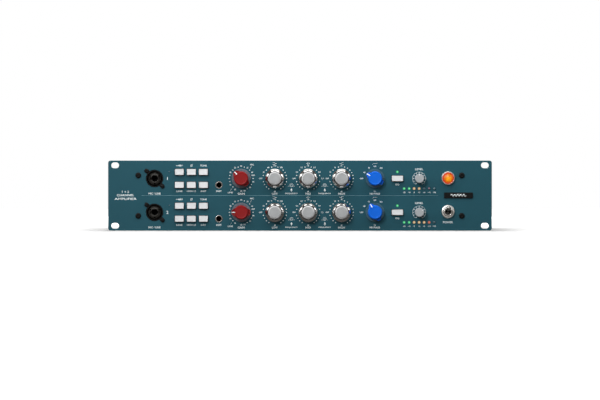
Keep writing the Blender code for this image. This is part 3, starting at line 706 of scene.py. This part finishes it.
def build_print():
    bm = bmesh.new()
    for channel in CHANNELS:
        gain = pivot(f"gain_turn_{channel}")
        row = gain[1]
        print_gain(bm, gain)
        bands = [pivot(f"{name}_frequency_turn_{channel}") for name in BANDS]
        for name, centre in zip(BANDS, bands):
            print_band(bm, centre, name)
        for first, second in zip(bands, bands[1:]):
            print_link(bm, (first[0] + second[0]) / 2, row)
        print_highpass(bm, pivot(f"highpass_turn_{channel}"))
        print_level(bm, pivot(f"level_turn_{channel}"))
        for kind, rows in BUTTON_WORDS.items():
            words(bm, middle(f"{kind}_button_{channel}"), rows)
        print_polarity(bm, middle(f"polarity_button_{channel}"))
        for node, rows in ROW_WORDS.items():
            words(bm, (middle(f"{node}_{channel}")[0], row), rows)
        right = middle(f"mic_input_{channel}")[0] + CHANNEL_NUMBER_RIGHT
        word(bm, str(channel), right, row, CHANNEL_NUMBER_HEIGHT)
        for (x, _), label in zip(meter_places(channel), METER_LABELS):
            word(bm, label, x, row - METER_NUMBER_DROP, SMALL_HEIGHT)
    words(bm, (0, 0), TITLE_WORDS)
    words(bm, pivot("power_toggle_tilt"), POWER_WORDS)
    piece("panel_print", bm, (0, 0), CASE, "print", "white_plastic")
    divider = bmesh.new()
    band(divider, DIVIDER, 0.35)
    piece("divider_line", divider, (0, 0), CASE, "faint_print", "white_plastic")


# ---- Front panel and what is fixed to it -----------------

PANEL_CORNER = 3.0
SLOT_SIZE = (9.9, 7.4)
BUTTON_GAP = 0.9
BUTTON_CORNER = 0.8

# Radius and number of sides of each round hole.
LIGHT_HOLE = (1.75, 24)
SHAFT_HOLE = (4.0, 32)
SCREW_HOLE = (2.4, 24)
LAMP_HOLE = (6.4, 32)
TOGGLE_HOLE = (6.3, 32)
CHANNEL_HOLES = {"mic_input": (11.0, 64), "instrument_jack": (4.75, 48), "eq_light": LIGHT_HOLE}
SHAFTS = ("gain", "highpass", "level", "low_frequency", "mid_frequency", "high_frequency")


def build_panel():
    bm = bmesh.new()
    slab(bm, PANEL_WIDTH, PANEL_HEIGHT, (0, PANEL_THICKNESS), PANEL_CORNER, 8)
    panel = new_object("panel_plate", bm)
    through = (-3.0, PANEL_THICKNESS + 3.0)
    holes = bmesh.new()
    for place in slot_places():
        slab(holes, *SLOT_SIZE, through, SLOT_SIZE[1] / 2 - 0.01, 10, place)
    for node in button_nodes():
        width, height = extent(node)
        slab(holes, width + BUTTON_GAP, height + BUTTON_GAP, through, BUTTON_CORNER, 4, middle(node))
    round_holes = []
    for channel in CHANNELS:
        round_holes += [(middle(f"{node}_{channel}"), hole) for node, hole in CHANNEL_HOLES.items()]
        round_holes += [(place, LIGHT_HOLE) for place in meter_places(channel)]
        round_holes += [(pivot(f"{kind}_turn_{channel}"), SHAFT_HOLE) for kind in SHAFTS]
    round_holes += [(middle(f"panel_screw_{corner}"), SCREW_HOLE) for corner in range(1, 5)]
    round_holes += [(middle("lamp_bezel"), LAMP_HOLE), (pivot("power_toggle_tilt"), TOGGLE_HOLE)]
    for place, (radius, count) in round_holes:
        rod(holes, *place, radius, through, count)
    combine(panel, holes)
    finish(panel, CASE, "teal", ["front_panel"], edge=0.25)


SHANK_LENGTH = 3.0

# Shares of the radius of a screw's head: its height, the cross and the hexagon in it, and its shank.
HEAD_HEIGHT = 0.62
CROSS_ARM = 0.55
CROSS_HALF = 0.11
HEXAGON_CORNER = 0.56
SHANK_RADIUS = 0.5

# Pairs of a share of the head's height and a share of its radius.
HEAD_PROFILE = ((0.0, 1.0), (0.45, 1.0), (0.8, 0.88), (1.0, 0.66))


def screw_head(name, at, depth, radius, turn=0.0, facing=0.0, drive="cross", stands_for=()):
    """A pan head on a short shank, with a cross or a hexagon cut into it, turned by facing around Z."""
    height = radius * HEAD_HEIGHT
    shank = [(y, radius * SHANK_RADIUS) for y in (SHANK_LENGTH, 0.0)]
    bm = bmesh.new()
    turned(bm, shank + [(-height * rise, radius * reach) for rise, reach in HEAD_PROFILE], 40)
    item = new_object(name, bm, at, depth)
    tool = bmesh.new()
    front = -height - 1.0
    if drive == "hexagon":
        rod(tool, 0, 0, radius * HEXAGON_CORNER, (front, height * 0.75 - height), 6)
    else:
        arm = radius * CROSS_ARM
        half = radius * CROSS_HALF
        corners = [Vector(corner) for corner in ((half, half), (half, arm), (-half, arm))]
        outline = [(corner.x * c - corner.y * s, corner.x * s + corner.y * c)
                   for c, s in ((1, 0), (0, 1), (-1, 0), (0, -1)) for corner in corners]
        prism(tool, outline, back=front, front=height * 0.6 - height)
    combine(item, tool)
    item.rotation_euler = (0, radians(turn), facing)
    finish(item, CASE, "screw_black", stands_for, edge=0.12, segments=2)


def build_panel_screws():
    for corner in range(1, 5):
        node = f"panel_screw_{corner}"
        screw_head(
            f"hex_screw_{corner}", middle(node), 0, 3.6, 17.0 * corner, drive="hexagon", stands_for=[node],
        )


MIC_SHELL = (
    (30.5, 11.9), (5.3, 11.9), (5.3, 12.6), (3.4, 12.6), (3.4, 10.6), (-0.35, 10.6), (-0.35, 9.55),
    (18.0, 9.55), (18.0, 8.9), (29.0, 8.9),
)
MIC_INSERT = (
    (17.5, 8.3), (3.4, 8.3), (2.7, 7.9), (1.0, 5.3), (0.9, 4.7), (1.5, 4.0), (3.2, 3.75), (17.0, 3.75),
)
LUG_TOWARDS = (10.1, -9.85)
LUG_REACH = (9.9, 13.6)
LUG_HALF = (2.3, 2.8)
CONTACT_TURNS = (60, 180, 300)
CONTACT_RADIUS = 6.4
LATCH_PLACE = 4.4
MIC_SCREWS = ((-10.1, 9.8), (10.1, -9.9))


def build_mic_input(channel):
    """Nose and groove, and a recessed insert with a bore, three contact holes and a latch window."""
    at = middle(f"mic_input_{channel}")
    shell = bmesh.new()
    turned(shell, MIC_SHELL, 72)
    item = new_object(f"mic_shell_{channel}", shell, at)
    lugs = bmesh.new()
    for side in (-1, 1):
        along = (Vector(LUG_TOWARDS) * side).normalized()
        across = Vector((along.y, -along.x))
        near, far = [along * reach for reach in LUG_REACH]
        outline = [near - across * LUG_HALF[0], near + across * LUG_HALF[0]]
        for angle in (pi * i / 10 for i in range(11)):
            outline.append(far + (across * cos(angle) + along * sin(angle)) * LUG_HALF[1])
        prism(lugs, outline, back=0.9, front=-0.3)
    combine(item, lugs, "UNION")
    finish(item, CASE, "black", [f"mic_input_{channel}"], edge=0.2)
    insert = bmesh.new()
    turned(insert, MIC_INSERT, 64)
    item = new_object(f"mic_insert_{channel}", insert, at)
    holes = bmesh.new()
    for turn in CONTACT_TURNS:
        rod(holes, *polar(CONTACT_RADIUS, turn), 1.2, (-2.0, 14.0), 24)
    for side in (-1, 1):
        window = side * LATCH_PLACE
        block(holes, (window - 2.0, window + 2.0), (-2.0, 9.0), (-1.7, 1.7))
    combine(item, holes)
    finish(item, CASE, "insert", edge=0.15)
    # Painted shade: a near-black disc set at the back of the bore to stand for the shade inside it.
    floor = [(12.0, 3.6), (16.8, 3.6)]
    turned_piece(f"mic_bore_floor_{channel}", floor, 32, at, CASE, "hollow", "black_plastic", edge=0.1)
    for corner, (right, up) in enumerate(MIC_SCREWS, start=1):
        place = (at[0] + right, at[1] + up)
        screw_head(f"mic_screw_{channel}_{corner}", place, -0.35, 2.7, 20.0 + 35.0 * corner)


JACK_RING = ((3.3, 4.4), (-0.75, 4.4), (-0.75, 3.6), (3.3, 3.6))


def build_jack(channel):
    node = f"instrument_jack_{channel}"
    at = middle(node)
    turned_piece(
        f"jack_ring_{channel}", JACK_RING, 56, at, CASE, "nickel", "jack_metal", closed=True, edge=0.2,
    )
    back = limits(node)[1].y
    body = [(back, 7.4), (3.5, 7.4), (3.5, 3.42), (-0.4, 3.42), (-0.4, 3.2), (back - 2.0, 3.2)]
    turned_piece(
        f"jack_body_{channel}", body, 48, at, CASE, "hollow", "black_plastic", [node], edge=0.08,
    )


LAMP_RING = (
    (18.0, 6.0), (-0.1, 6.0), (-0.1, 8.7), (-2.4, 8.7), (-3.7, 8.0), (-3.9, 7.6), (-3.6, 7.25), (-1.2, 7.2),
    (-1.2, 4.8), (14.0, 4.8),
)
# Depth and radius of each ring of the jewel's corners, and by how much of a facet it is turned.
JEWEL_RINGS = (
    (6.0, 4.2, 0), (-1.5, 4.2, 0), (-1.5, 6.9, 0), (-3.4, 7.0, 0), (-5.6, 5.9, 0.5), (-7.3, 3.9, 0),
    (-8.4, 1.9, 0.5),
)
JEWEL_FACETS = 12


def build_lamp():
    at = middle("lamp_bezel")
    turned_piece(
        "lamp_ring", LAMP_RING, 72, at, CASE, "satin", "chrome", ["lamp_bezel"], edge=0.15,
    )
    jewel = bmesh.new()
    made = []
    for y, radius, shift in JEWEL_RINGS:
        points = loop(y, radius, even_angles(JEWEL_FACETS, shift * 2 * pi / JEWEL_FACETS))
        made.append(([jewel.verts.new(point * MM) for point in points], shift))
    for (near, a), (far, b) in zip(made, made[1:]):
        for i in range(JEWEL_FACETS):
            j = (i + 1) % JEWEL_FACETS
            if a == b:
                jewel.faces.new((near[i], near[j], far[j], far[i]))
            elif b > a:
                jewel.faces.new((near[i], near[j], far[i]))
                jewel.faces.new((near[j], far[j], far[i]))
            else:
                jewel.faces.new((near[i], far[j], far[i]))
                jewel.faces.new((near[i], near[j], far[j]))
    jewel.faces.new(made[0][0])
    jewel.faces.new(made[-1][0])
    item = new_object("lamp_jewel", jewel, at)
    item.data.shade_flat()
    finish(item, CASE, "jewel", ["lamp_lens"])


TOGGLE_NUT = ((-0.1, 6.2), (-0.1, 8.55), (-2.2, 8.55), (-3.3, 7.9), (-3.7, 7.0), (-3.7, 6.2))
TOGGLE_BUSHING = ((8.0, 5.9), (-4.0, 5.9), (-4.5, 5.3), (-4.5, 4.3), (-3.6, 3.8), (7.0, 3.8))
TOGGLE_SEAL = ((6.5, 3.7), (1.8, 3.7), (1.2, 3.2), (1.0, 0.5))
TOGGLE_LEVER = (
    (2.0, 1.2), (1.0, 2.6), (-0.4, 3.0), (-1.8, 2.5), (-3.0, 1.9), (-5.0, 1.95), (-9.0, 2.35), (-13.0, 2.8),
    (-15.0, 2.9), (-16.2, 2.5), (-16.9, 1.6), (-17.2, 0.6),
)


def build_toggle():
    joint = JOINTS["power_toggle_tilt"]
    x, depth, z = local(joint["pos_m"])
    at = (x, z)
    turned_piece(
        "toggle_nut", TOGGLE_NUT, 72, at, CASE, "satin", "chrome", ["power_switch_nut"],
        closed=True, edge=0.2,
    )
    turned_piece("toggle_bushing", TOGGLE_BUSHING, 56, at, CASE, "nickel", "chrome", edge=0.15)
    # Painted shade: a near-black plug in the bushing's bore stands for the shade inside the hole.
    turned_piece("toggle_seal", TOGGLE_SEAL, 40, at, CASE, "hollow", "black_plastic", edge=0.1)
    # The lever's chrome is painted darker, as a painted dark reflection.
    turned_piece(
        "toggle_lever", TOGGLE_LEVER, 40, at, "power_toggle_lever", "chrome_painted_dark_reflection", "chrome",
        ["power_toggle_lever"], depth=depth, tilt=-joint["range_deg"][1] / 2,
    )


WAVE_LENGTH = 18.8
WAVE_HEIGHT = 1.25
WAVE_COUNT = 5
WAVE_STEPS = 120


def build_badge():
    """A plain plate with a small wave."""
    at = middle("badge_plate")
    plate = bmesh.new()
    slab(plate, *extent("badge_plate"), (-0.05, -1.6), 0.5, 4)
    piece("badge", plate, at, CASE, "black", "black_plastic", ["badge_plate"], edge=0.25)
    mark = bmesh.new()
    wave = []
    for i in range(WAVE_STEPS + 1):
        share = i / WAVE_STEPS
        wave.append(((share - 0.5) * WAVE_LENGTH, WAVE_HEIGHT * sin(2 * pi * WAVE_COUNT * share)))
    band(mark, wave, 1.0, back=-1.5, front=-1.64)
    piece("badge_wave", mark, at, CASE, "print", "white_plastic")


LIT = {
    1: ("green_light", "green_light", "amber_light", "amber_light", "unlit", "unlit_red", "unlit"),
    2: ("green_light", "green_light", "amber_light", "amber_light", "amber_light", "red_light", "unlit"),
}
LENS_RADIUS = 1.5
SMALL_LENS_RADIUS = 0.8
PHANTOM_LAMP = (-12.8, 0.6)


def light(name, at, look, radius=LENS_RADIUS, stands_for=()):
    profile = [
        (5.0, radius + 0.15), (1.0, radius + 0.15), (0.2, radius), (-0.3, radius * 0.94),
        (-0.9, radius * 0.72), (-1.25, radius * 0.35),
    ]
    turned_piece(name, profile, 28, at, CASE, look, "light_lens", stands_for)


def build_lights():
    for channel in CHANNELS:
        for place, (at, look) in enumerate(zip(meter_places(channel), LIT[channel]), start=1):
            stands_for = [f"meter_lights_{channel}"] if place == 1 else ()
            light(f"meter_light_{channel}_{place}", at, look, stands_for=stands_for)
        node = f"eq_light_{channel}"
        light(f"eq_lamp_{channel}", middle(node), "green_light", stands_for=[node])
        x, z = middle(f"phantom_button_{channel}")
        right, up = PHANTOM_LAMP
        light(f"phantom_lamp_{channel}", (x + right, z + up), "unlit", SMALL_LENS_RADIUS)


# ---- Controls that move ----------------------------------

BUTTON_INSET = 0.5
STEM = 3.0


def build_button(node):
    """A moulded cap with rounded edges and a slightly hollow face, on a square stem."""
    front = limits(node)[0].y
    at = middle(node)
    width, height = [size - BUTTON_INSET for size in extent(node)]
    bm = bmesh.new()
    skin(bm, [rectangle(*section, 2) for section in (
        (12.0, STEM, STEM, 0.3), (5.0, STEM, STEM, 0.3), (5.0, width, height, 0.5),
        (front + 0.35, width, height, 0.5), (front, width - 0.6, height - 0.6, 0.35),
        (front + 0.1, width - 2.4, height - 2.4, 0.3),
    )])
    piece(f"{node}_cap", bm, at, node, "button", "white_plastic", [node], edge=0.16)


SKIRT = ((-0.5, 4.2), (-0.5, 11.9), (-0.9, 12.2), (-1.5, 12.2), (-2.1, 11.6), (-2.3, 4.2))
CAP_RADIUS = 9.0
WING_REACH = 11.9
TAIL_REACH = 11.5
WING_TOP = -9.6
WING_SLOPE = 0.9
TIP_SHARE = 0.7
POINTER_SLOPE = ((-15.35, 6.9), (-15.45, 7.75), (-14.9, 8.4), (-13.7, 8.85), (-9.75, 9.15), (-7.2, 12.0))
POINTER_HALF = 0.55
POINTER_PROUD = 0.08


def wing_outline(root, half, tail_half, steps=18):
    """Radius by angle of each point round a cap with a pointer wing at the top and a tail wing below.

    The root is the angle at which the pointer wing leaves the cap.
    """
    root = radians(root)
    tip = half * TIP_SHARE
    pointer = [(atan2(tip, WING_REACH), hypot(tip, WING_REACH + 0.25))]
    pointer += [(atan2(half, WING_REACH), hypot(half, WING_REACH))]
    side = [(root + (pi - 2 * root) * i / steps, CAP_RADIUS) for i in range(steps + 1)]
    ends = (tail_half, tail_half * TIP_SHARE)
    tail = [(pi - atan2(end, TAIL_REACH), hypot(end, TAIL_REACH)) for end in ends]
    right = pointer + side + tail
    left = [(2 * pi - angle, length) for angle, length in reversed(right)]
    return dict(right + left)


def build_wing_knob(kind, channel, look, skirt_look, slot, **wings):
    joint = f"{kind}_turn_{channel}"
    node = f"{kind}_knob_{channel}"
    at = pivot(joint)
    turn = rest_turn(joint, kind)
    turned_piece(
        f"{node}_skirt", SKIRT, 96, at, node, skirt_look, "grey_plastic", closed=True, turn=turn, edge=0.12,
    )
    outline = wing_outline(**wings)

    def wing_height(angle):
        return WING_TOP + WING_SLOPE * max(outline[angle] - CAP_RADIUS, 0.0)

    def inner_radius(angle):
        return min(outline[angle], CAP_RADIUS - 0.1)

    cap = bmesh.new()
    turned(cap, [
        (15.0, 3.0), (-0.9, 3.0), (-0.9, 4.0), (-2.2, 4.0), (-2.2, outline.get), (wing_height, outline.get),
        (wing_height, inner_radius), (-13.8, 8.7), (-14.9, 8.35), (-15.4, 7.8), (-15.5, 7.0), (-15.3, 6.5),
        (-15.29, 6.2), (-15.28, 1.0),
    ], angles=list(outline))
    piece(f"{node}_cap", cap, at, node, look, slot, [node], turn=turn, edge=0.3)
    line = bmesh.new()
    strip(line, POINTER_HALF, [((y - POINTER_PROUD, r), (y + 0.5, r - 0.25)) for y, r in POINTER_SLOPE])
    piece(f"{node}_line", line, at, node, "print", "white_plastic", turn=turn, edge=0.05)


def flutes(count, radius, depth, sharpness, offset=0.0):
    """The radius, by the angle, of a grip with flutes around it that are flat at their top and bottom."""
    def reach(angle):
        return radius + depth * max(-1.0, min(1.0, sharpness * cos(count * angle) - offset))
    return reach


RING = (
    (12.0, 3.0), (-0.8, 3.0), (-0.8, 12.0), (-1.2, 12.2), (-5.7, 12.2), (-6.1, 12.05), (-8.1, 9.5),
    (-8.2, 9.35), (-8.1, 9.25), (-6.5, 9.2), (-6.5, 1.9), (12.0, 1.9),
)
RING_RIBS = 48
RIB_PLACE = 12.45
RIB_RADIUS = 0.42
RIB_DEPTHS = (-5.2, -1.6)
WELL = ((-6.45, 8.0), (-6.45, 9.18), (-8.25, 9.18), (-8.25, 8.0))
RING_INDEX = (((-6.1, 12.13), (-5.6, 11.9)), ((-8.15, 9.5), (-7.6, 9.35)))
CAP_FLUTES = 32
CAP_FACE = ((-18.0, 6.6), (-18.78, 6.6), (-18.95, 6.43))
CAP_MARK = (((-18.88, 7.05), (-18.5, 6.9)), ((-17.95, 7.9), (-17.5, 7.7)))
POINTS_PER_FLUTE = 8


def build_frequency_ring(name, channel):
    """A metal ring on a tube, with ribs around it, a near-black well inside that is painted shade for the
    gap under the cap, and a dark index line.
    """
    node = f"{name}_frequency_ring_{channel}"
    joint = f"{name}_frequency_turn_{channel}"
    at = pivot(joint)
    turn = rest_turn(joint, "frequency")
    ring = bmesh.new()
    turned(ring, RING, 96, closed=True)
    item = new_object(f"{node}_bezel", ring, at, turn=turn)
    grip = bmesh.new()
    for i in range(RING_RIBS):
        rod(grip, *polar(RIB_PLACE, 360 * i / RING_RIBS), RIB_RADIUS, RIB_DEPTHS, 8)
    combine(item, grip)
    finish(item, node, "chrome", [node], edge=0.08, segments=2)
    # Painted shade: the near-black well stands for the shade in the gap between the ring and the cap.
    turned_piece(
        f"{node}_well", WELL, 64, at, node, "hollow", "black_plastic", closed=True, turn=turn, edge=0.05,
    )
    index = bmesh.new()
    strip(index, 0.3, RING_INDEX)
    piece(f"{node}_index", index, at, node, "hollow", "black_plastic", turn=turn)


def build_boost_cap(name, channel):
    """A fluted cap on a shaft, with a darker face and a white mark on its edge."""
    node = f"{name}_boost_cap_{channel}"
    joint = f"{name}_boost_turn_{channel}"
    at = pivot(f"{name}_frequency_turn_{channel}")
    turn = rest_turn(joint, "boost")
    fluted = flutes(CAP_FLUTES, 8.25, 0.4, 1.6, 0.4)
    cap = bmesh.new()
    turned(cap, [
        (15.0, 1.5), (-6.8, 1.5), (-6.8, 7.8), (-8.8, 7.8), (-8.8, fluted), (-17.7, fluted), (-17.9, 7.8),
        (-18.8, 7.1), (-18.9, 6.8), (-18.6, 6.7), (-18.6, 1.0),
    ], CAP_FLUTES * POINTS_PER_FLUTE)
    piece(f"{node}_grip", cap, at, node, "pale_grey", "grey_plastic", [node], 0.1, 2, turn=turn)
    turned_piece(f"{node}_face", CAP_FACE, 64, at, node, "grey", "grey_plastic", turn=turn, edge=0.05)
    mark = bmesh.new()
    strip(mark, 0.5, CAP_MARK)
    piece(f"{node}_mark", mark, at, node, "print", "white_plastic", turn=turn)


LEVEL_RIBS = 18


def build_level_knob(channel):
    joint = f"level_turn_{channel}"
    node = f"level_knob_{channel}"
    at = pivot(joint)
    turn = rest_turn(joint, "level")
    ribbed = flutes(LEVEL_RIBS, 5.78, 0.1, 2.0)
    cap = bmesh.new()
    turned(cap, [
        (15.0, 3.0), (-0.8, 3.0), (-0.8, 5.85), (-2.4, 5.85), (-2.6, ribbed), (-13.0, ribbed), (-13.3, 5.65),
        (-13.9, 5.2), (-14.0, 1.0),
    ], LEVEL_RIBS * POINTS_PER_FLUTE)
    piece(f"{node}_cap", cap, at, node, "silver", "silver_cap", [node], 0.12, 2, turn=turn)
    mark = bmesh.new()
    block(mark, (-0.35, 0.35), (-14.06, -13.6), (3.4, 5.2))
    block(mark, (-0.4, 0.4), (-13.4, -3.0), (5.2, 6.0))
    piece(f"{node}_line", mark, at, node, "print", "white_plastic", turn=turn)


def build_controls():
    for node in button_nodes():
        build_button(node)
    for channel in CHANNELS:
        build_wing_knob("gain", channel, "red", "smoke", "red_plastic", root=38, half=2.5, tail_half=2.6)
        build_wing_knob("highpass", channel, "blue", "clear", "blue_plastic", root=27, half=1.5, tail_half=2)
        for name in BANDS:
            build_frequency_ring(name, channel)
            build_boost_cap(name, channel)
        build_level_knob(channel)


# ---- Case and back ---------------------------------------

# Looks of the nodes that show as they are.
CASE_LOOKS = {
    "chassis_tray": "zinc", "top_cover": "cover", "rear_panel": "cover", "power_switch_body": "zinc",
    "main_board": "board", "control_board": "board", "mains_transformer": "winding",
}
COVER_SCREW_DEPTHS = (25.0, 100.0, 180.0)
COVER_SCREW_DROP = 7.0
REAR_SCREWS_RIGHT = (-208.0, -70.0, 70.0, 208.0)
REAR_SCREW_INSET = 5.0
CASE_SCREW = 2.6


def build_case():
    for node, look in CASE_LOOKS.items():
        materials = frame["nodes"][node].data.materials
        materials.clear()
        materials.append(LOOKS[look])


def build_case_screws():
    low, high = limits("top_cover")
    places = [(side, y) for side in (-1, 1) for y in COVER_SCREW_DEPTHS]
    for count, (side, y) in enumerate(places, start=1):
        place = (high.x if side > 0 else low.x, high.z - COVER_SCREW_DROP)
        screw_head(f"cover_screw_{count}", place, y, CASE_SCREW, facing=side * pi / 2)
    low, high = limits("rear_panel")
    for i, x in enumerate(REAR_SCREWS_RIGHT, start=1):
        for j, z in enumerate((low.z + REAR_SCREW_INSET, high.z - REAR_SCREW_INSET), start=1):
            screw_head(f"rear_screw_{i}_{j}", (x, z), high.y, CASE_SCREW, facing=pi)


# Depths at the back count from a socket's rear face.
OUTPUT_SHELL = ((-2.8, 11.4), (-2.8, 12.6), (-0.8, 12.6), (-0.8, 11.2), (0, 10.9), (0, 9.7), (-15.9, 9.6))
OUTPUT_FLANGE = 26.0
OUTPUT_BORE = 9.65
OUTPUT_PIN = ((-16.5, 1.2), (-3.6, 1.2), (-3.0, 0.6))
OUTPUT_SCREW_PLACE = 10.2
INLET_BODY = (27.6, 20.6)
INLET_FLANGE = (50.0, 28.0)
INLET_RECESS = ((-12.0, -8.2), (12.0, -8.2), (12.0, 3.8), (7.4, 8.2), (-7.4, 8.2), (-12.0, 3.8))
INLET_PINS = ((-7.0, -2.0), (0.0, 2.0), (7.0, -2.0))
INLET_SCREW_PLACE = 20.0


def build_outputs():
    for node in ("line_output_1", "line_output_2"):
        at = middle(node)
        low, high = limits(node)
        back = high.y
        shell = bmesh.new()
        turned(shell, [(low.y, OUTPUT_SHELL[0][1])] + [(back + y, radius) for y, radius in OUTPUT_SHELL], 72)
        item = new_object(f"{node}_shell", shell, at)
        flange = bmesh.new()
        slab(flange, OUTPUT_FLANGE, OUTPUT_FLANGE, (back - 2.7, back - 1.0), 2.0)
        bore = bmesh.new()
        rod(bore, 0, 0, OUTPUT_BORE, (back - 15.9, back + 2.0), 72)
        combine(item, flange, "UNION")
        combine(item, bore, "DIFFERENCE")
        finish(item, CASE, "black", [node], edge=0.25)
        pins = bmesh.new()
        for turn in CONTACT_TURNS:
            px, pz = polar(6.0, turn)
            turned(pins, [(back + y, radius) for y, radius in OUTPUT_PIN], 20, at=(px, 0, pz))
        piece(f"{node}_pins", pins, at, CASE, "pin", "jack_metal")
        for count, side in enumerate((-1, 1), start=1):
            shift = side * OUTPUT_SCREW_PLACE
            place = (at[0] + shift, at[1] + shift)
            screw_head(f"{node}_screw_{count}", place, back - 1.0, 2.2, facing=pi)


def build_inlet():
    at = middle("mains_inlet")
    low, high = limits("mains_inlet")
    back = high.y
    body = bmesh.new()
    slab(body, *INLET_BODY, (low.y, back - 2.6), 1.0, 4)
    item = new_object("inlet_shell", body, at)
    flange = bmesh.new()
    width, height = INLET_FLANGE
    skin(flange, [
        rectangle(back - 2.65, width, height, 5.0, 8), rectangle(back, width - 0.6, height - 0.6, 4.7, 8),
    ])
    combine(item, flange, "UNION")
    recess = bmesh.new()
    prism(recess, INLET_RECESS, back=back - 16.0, front=back + 3.0)
    combine(item, recess, "DIFFERENCE")
    finish(item, CASE, "black", ["mains_inlet"], edge=0.3)
    pins = bmesh.new()
    for px, pz in INLET_PINS:
        block(pins, (px - 1.0, px + 1.0), (back - 16.5, back - 3.0), (pz - 2.0, pz + 2.0))
    piece("inlet_pins", pins, at, CASE, "pin", "jack_metal", edge=0.3)
    for count, side in enumerate((-1, 1), start=1):
        place = (at[0] + side * INLET_SCREW_PLACE, at[1])
        screw_head(f"inlet_screw_{count}", place, back, CASE_SCREW, facing=pi)


REAR_WORD_HEIGHT = 2.6
OUTPUT_WORD_RISE = 18.0
INLET_WORD_RISE = 19.0


def build_rear_print():
    """Short words over the sockets, printed so that they read from behind."""
    bm = bmesh.new()
    for count in (1, 2):
        right = -middle(f"line_output_{count}")[0]
        word(bm, f"LINE OUT {count}", right, OUTPUT_WORD_RISE, REAR_WORD_HEIGHT)
    word(bm, "MAINS IN", -middle("mains_inlet")[0], INLET_WORD_RISE, REAR_WORD_HEIGHT)
    item = new_object("rear_print", bm, depth=limits("rear_panel")[1].y)
    item.rotation_euler = (0, 0, pi)
    finish(item, CASE, "print")


# ---- Stage -----------------------------------------------

VIEW_WIDTH = 754.6
CAMERA_DISTANCE = 3500.0
CAMERA_DROP = 5.58
SENSOR = 36.0
FLOOR_HALF = 8.0
# Painted shadow: the floor's glow is held back over the object's footprint and rises over the fade beyond
# it, so the floor is painted darker near the object. There its grey also shows the real shadows of the
# lights.
FLOOR_SHADOW_FOOTPRINT = (0.235, 0.10, 0.0)
FLOOR_SHADOW_WEIGHTS = (3.5, 1.0, 0.0)
FLOOR_GREY = (0.60, 0.60, 0.60)
FLOOR_GLOW = 1.1
FLOOR_SHADOW_FADE = 0.5
STUDIO_COLOUR = (1.0, 0.95, 0.90, 1.0)
STUDIO_FRONT = 0.40
STUDIO_SIDES = 0.09
LIGHT_TARGET = Vector((0.0, 0.0, 0.05))

# Name, place, width and height, and power in watts.
LIGHTS = (
    ("key", (-0.12, -0.56, 0.46), (1.5, 0.30), 2.05),
    ("fill", (-0.9, -2.6, 1.1), (0.30, 0.30), 27.5),
    ("overhead", (0.0, -0.30, 0.52), (0.60, 0.26), 1.6),
    ("side", (-0.95, -0.36, 0.50), (0.40, 0.30), 1.2),
    ("side", (0.95, -0.36, 0.50), (0.40, 0.30), 1.2),
    ("back", (0.0, 3.0, 0.9), (3.2, 1.0), 75.0),
    ("top", (0.0, 0.6, 2.2), (2.2, 1.2), 12.0),
)


def build_camera():
    data = bpy.data.cameras.new("camera")
    data.sensor_width = SENSOR
    data.lens = SENSOR * CAMERA_DISTANCE / VIEW_WIDTH
    camera = bpy.data.objects.new("camera", data)
    bpy.context.collection.objects.link(camera)
    camera.location = FACE + Vector((0, -CAMERA_DISTANCE, -CAMERA_DROP)) * MM
    camera.rotation_euler = (pi / 2, 0, 0)
    bpy.context.scene.camera = camera


def build_floor():
    """A pale floor whose own glow grows with the distance from the object, so that it has no visible end;
    close to the object the glow is held back, which paints a soft shadow on the floor around it.
    """
    bm = bmesh.new()
    bmesh.ops.create_grid(bm, x_segments=1, y_segments=1, size=FLOOR_HALF)
    mesh = bpy.data.meshes.new("floor")
    bm.to_mesh(mesh)
    bm.free()
    floor = bpy.data.objects.new("floor", mesh)
    bpy.context.collection.objects.link(floor)
    floor.visible_glossy = False
    floor.visible_diffuse = False
    nodes = Nodes(bpy.data.materials.new("floor"))
    # Painted shadow: the distance outside the footprint, weighted by side, sets the glow, so the floor stays
    # darker close to the object.
    beside = nodes.vector_math("SUBTRACT", nodes.vector_math("ABSOLUTE", nodes.place), FLOOR_SHADOW_FOOTPRINT)
    outside = nodes.vector_math("MAXIMUM", beside, (0.0, 0.0, 0.0))
    reach = nodes.vector_math("LENGTH", nodes.vector_math("MULTIPLY", outside, FLOOR_SHADOW_WEIGHTS))
    nodes.set(
        Base_Color=FLOOR_GREY, Roughness=nodes.spread(nodes.noise(3.0), 0.55, 0.65), Specular_IOR_Level=0.0,
        Emission_Color=(1.0, 1.0, 1.0),
        Emission_Strength=nodes.spread(reach, 0.0, FLOOR_GLOW, 0.0, FLOOR_SHADOW_FADE),
    )
    mesh.materials.append(nodes.owner)


def build_world():
    """White behind the object, and in what it reflects a dim warm grey studio that is lighter in front."""
    world = bpy.data.worlds.new("world")
    bpy.context.scene.world = world
    nodes = Nodes(world, "Generated")
    forward = nodes.spread(nodes.axes()["Y"], STUDIO_FRONT, STUDIO_SIDES, -1.0, -0.6)
    studio = nodes.add("ShaderNodeBackground", STUDIO_COLOUR, forward).outputs[0]
    background = nodes.tree.nodes["Background"]
    background.inputs["Color"].default_value = (1.0, 1.0, 1.0, 1.0)
    seen = nodes.add("ShaderNodeLightPath").outputs["Is Camera Ray"]
    mix = nodes.add("ShaderNodeMixShader", seen, studio, background.outputs[0])
    nodes.fill(nodes.tree.nodes["World Output"].inputs["Surface"], mix.outputs[0])


def build_lights_around():
    """A wide key over the front, a small far fill from the upper left, and softboxes all round."""
    for name, place, (width, height), power in LIGHTS:
        data = bpy.data.lights.new(name, "AREA")
        data.shape = "RECTANGLE"
        data.size = width
        data.size_y = height
        data.energy = power
        item = bpy.data.objects.new(name, data)
        bpy.context.collection.objects.link(item)
        item.location = place
        item.rotation_euler = (LIGHT_TARGET - Vector(place)).to_track_quat("-Z", "Y").to_euler()


build_camera()
build_panel()
build_print()
build_panel_screws()
for channel_number in CHANNELS:
    build_mic_input(channel_number)
    build_jack(channel_number)
build_lamp()
build_toggle()
build_badge()
build_lights()
build_controls()
build_case()
build_case_screws()
build_outputs()
build_inlet()
build_rear_print()
build_floor()
build_world()
build_lights_around()
bpy.context.scene.view_settings.view_transform = "Standard"
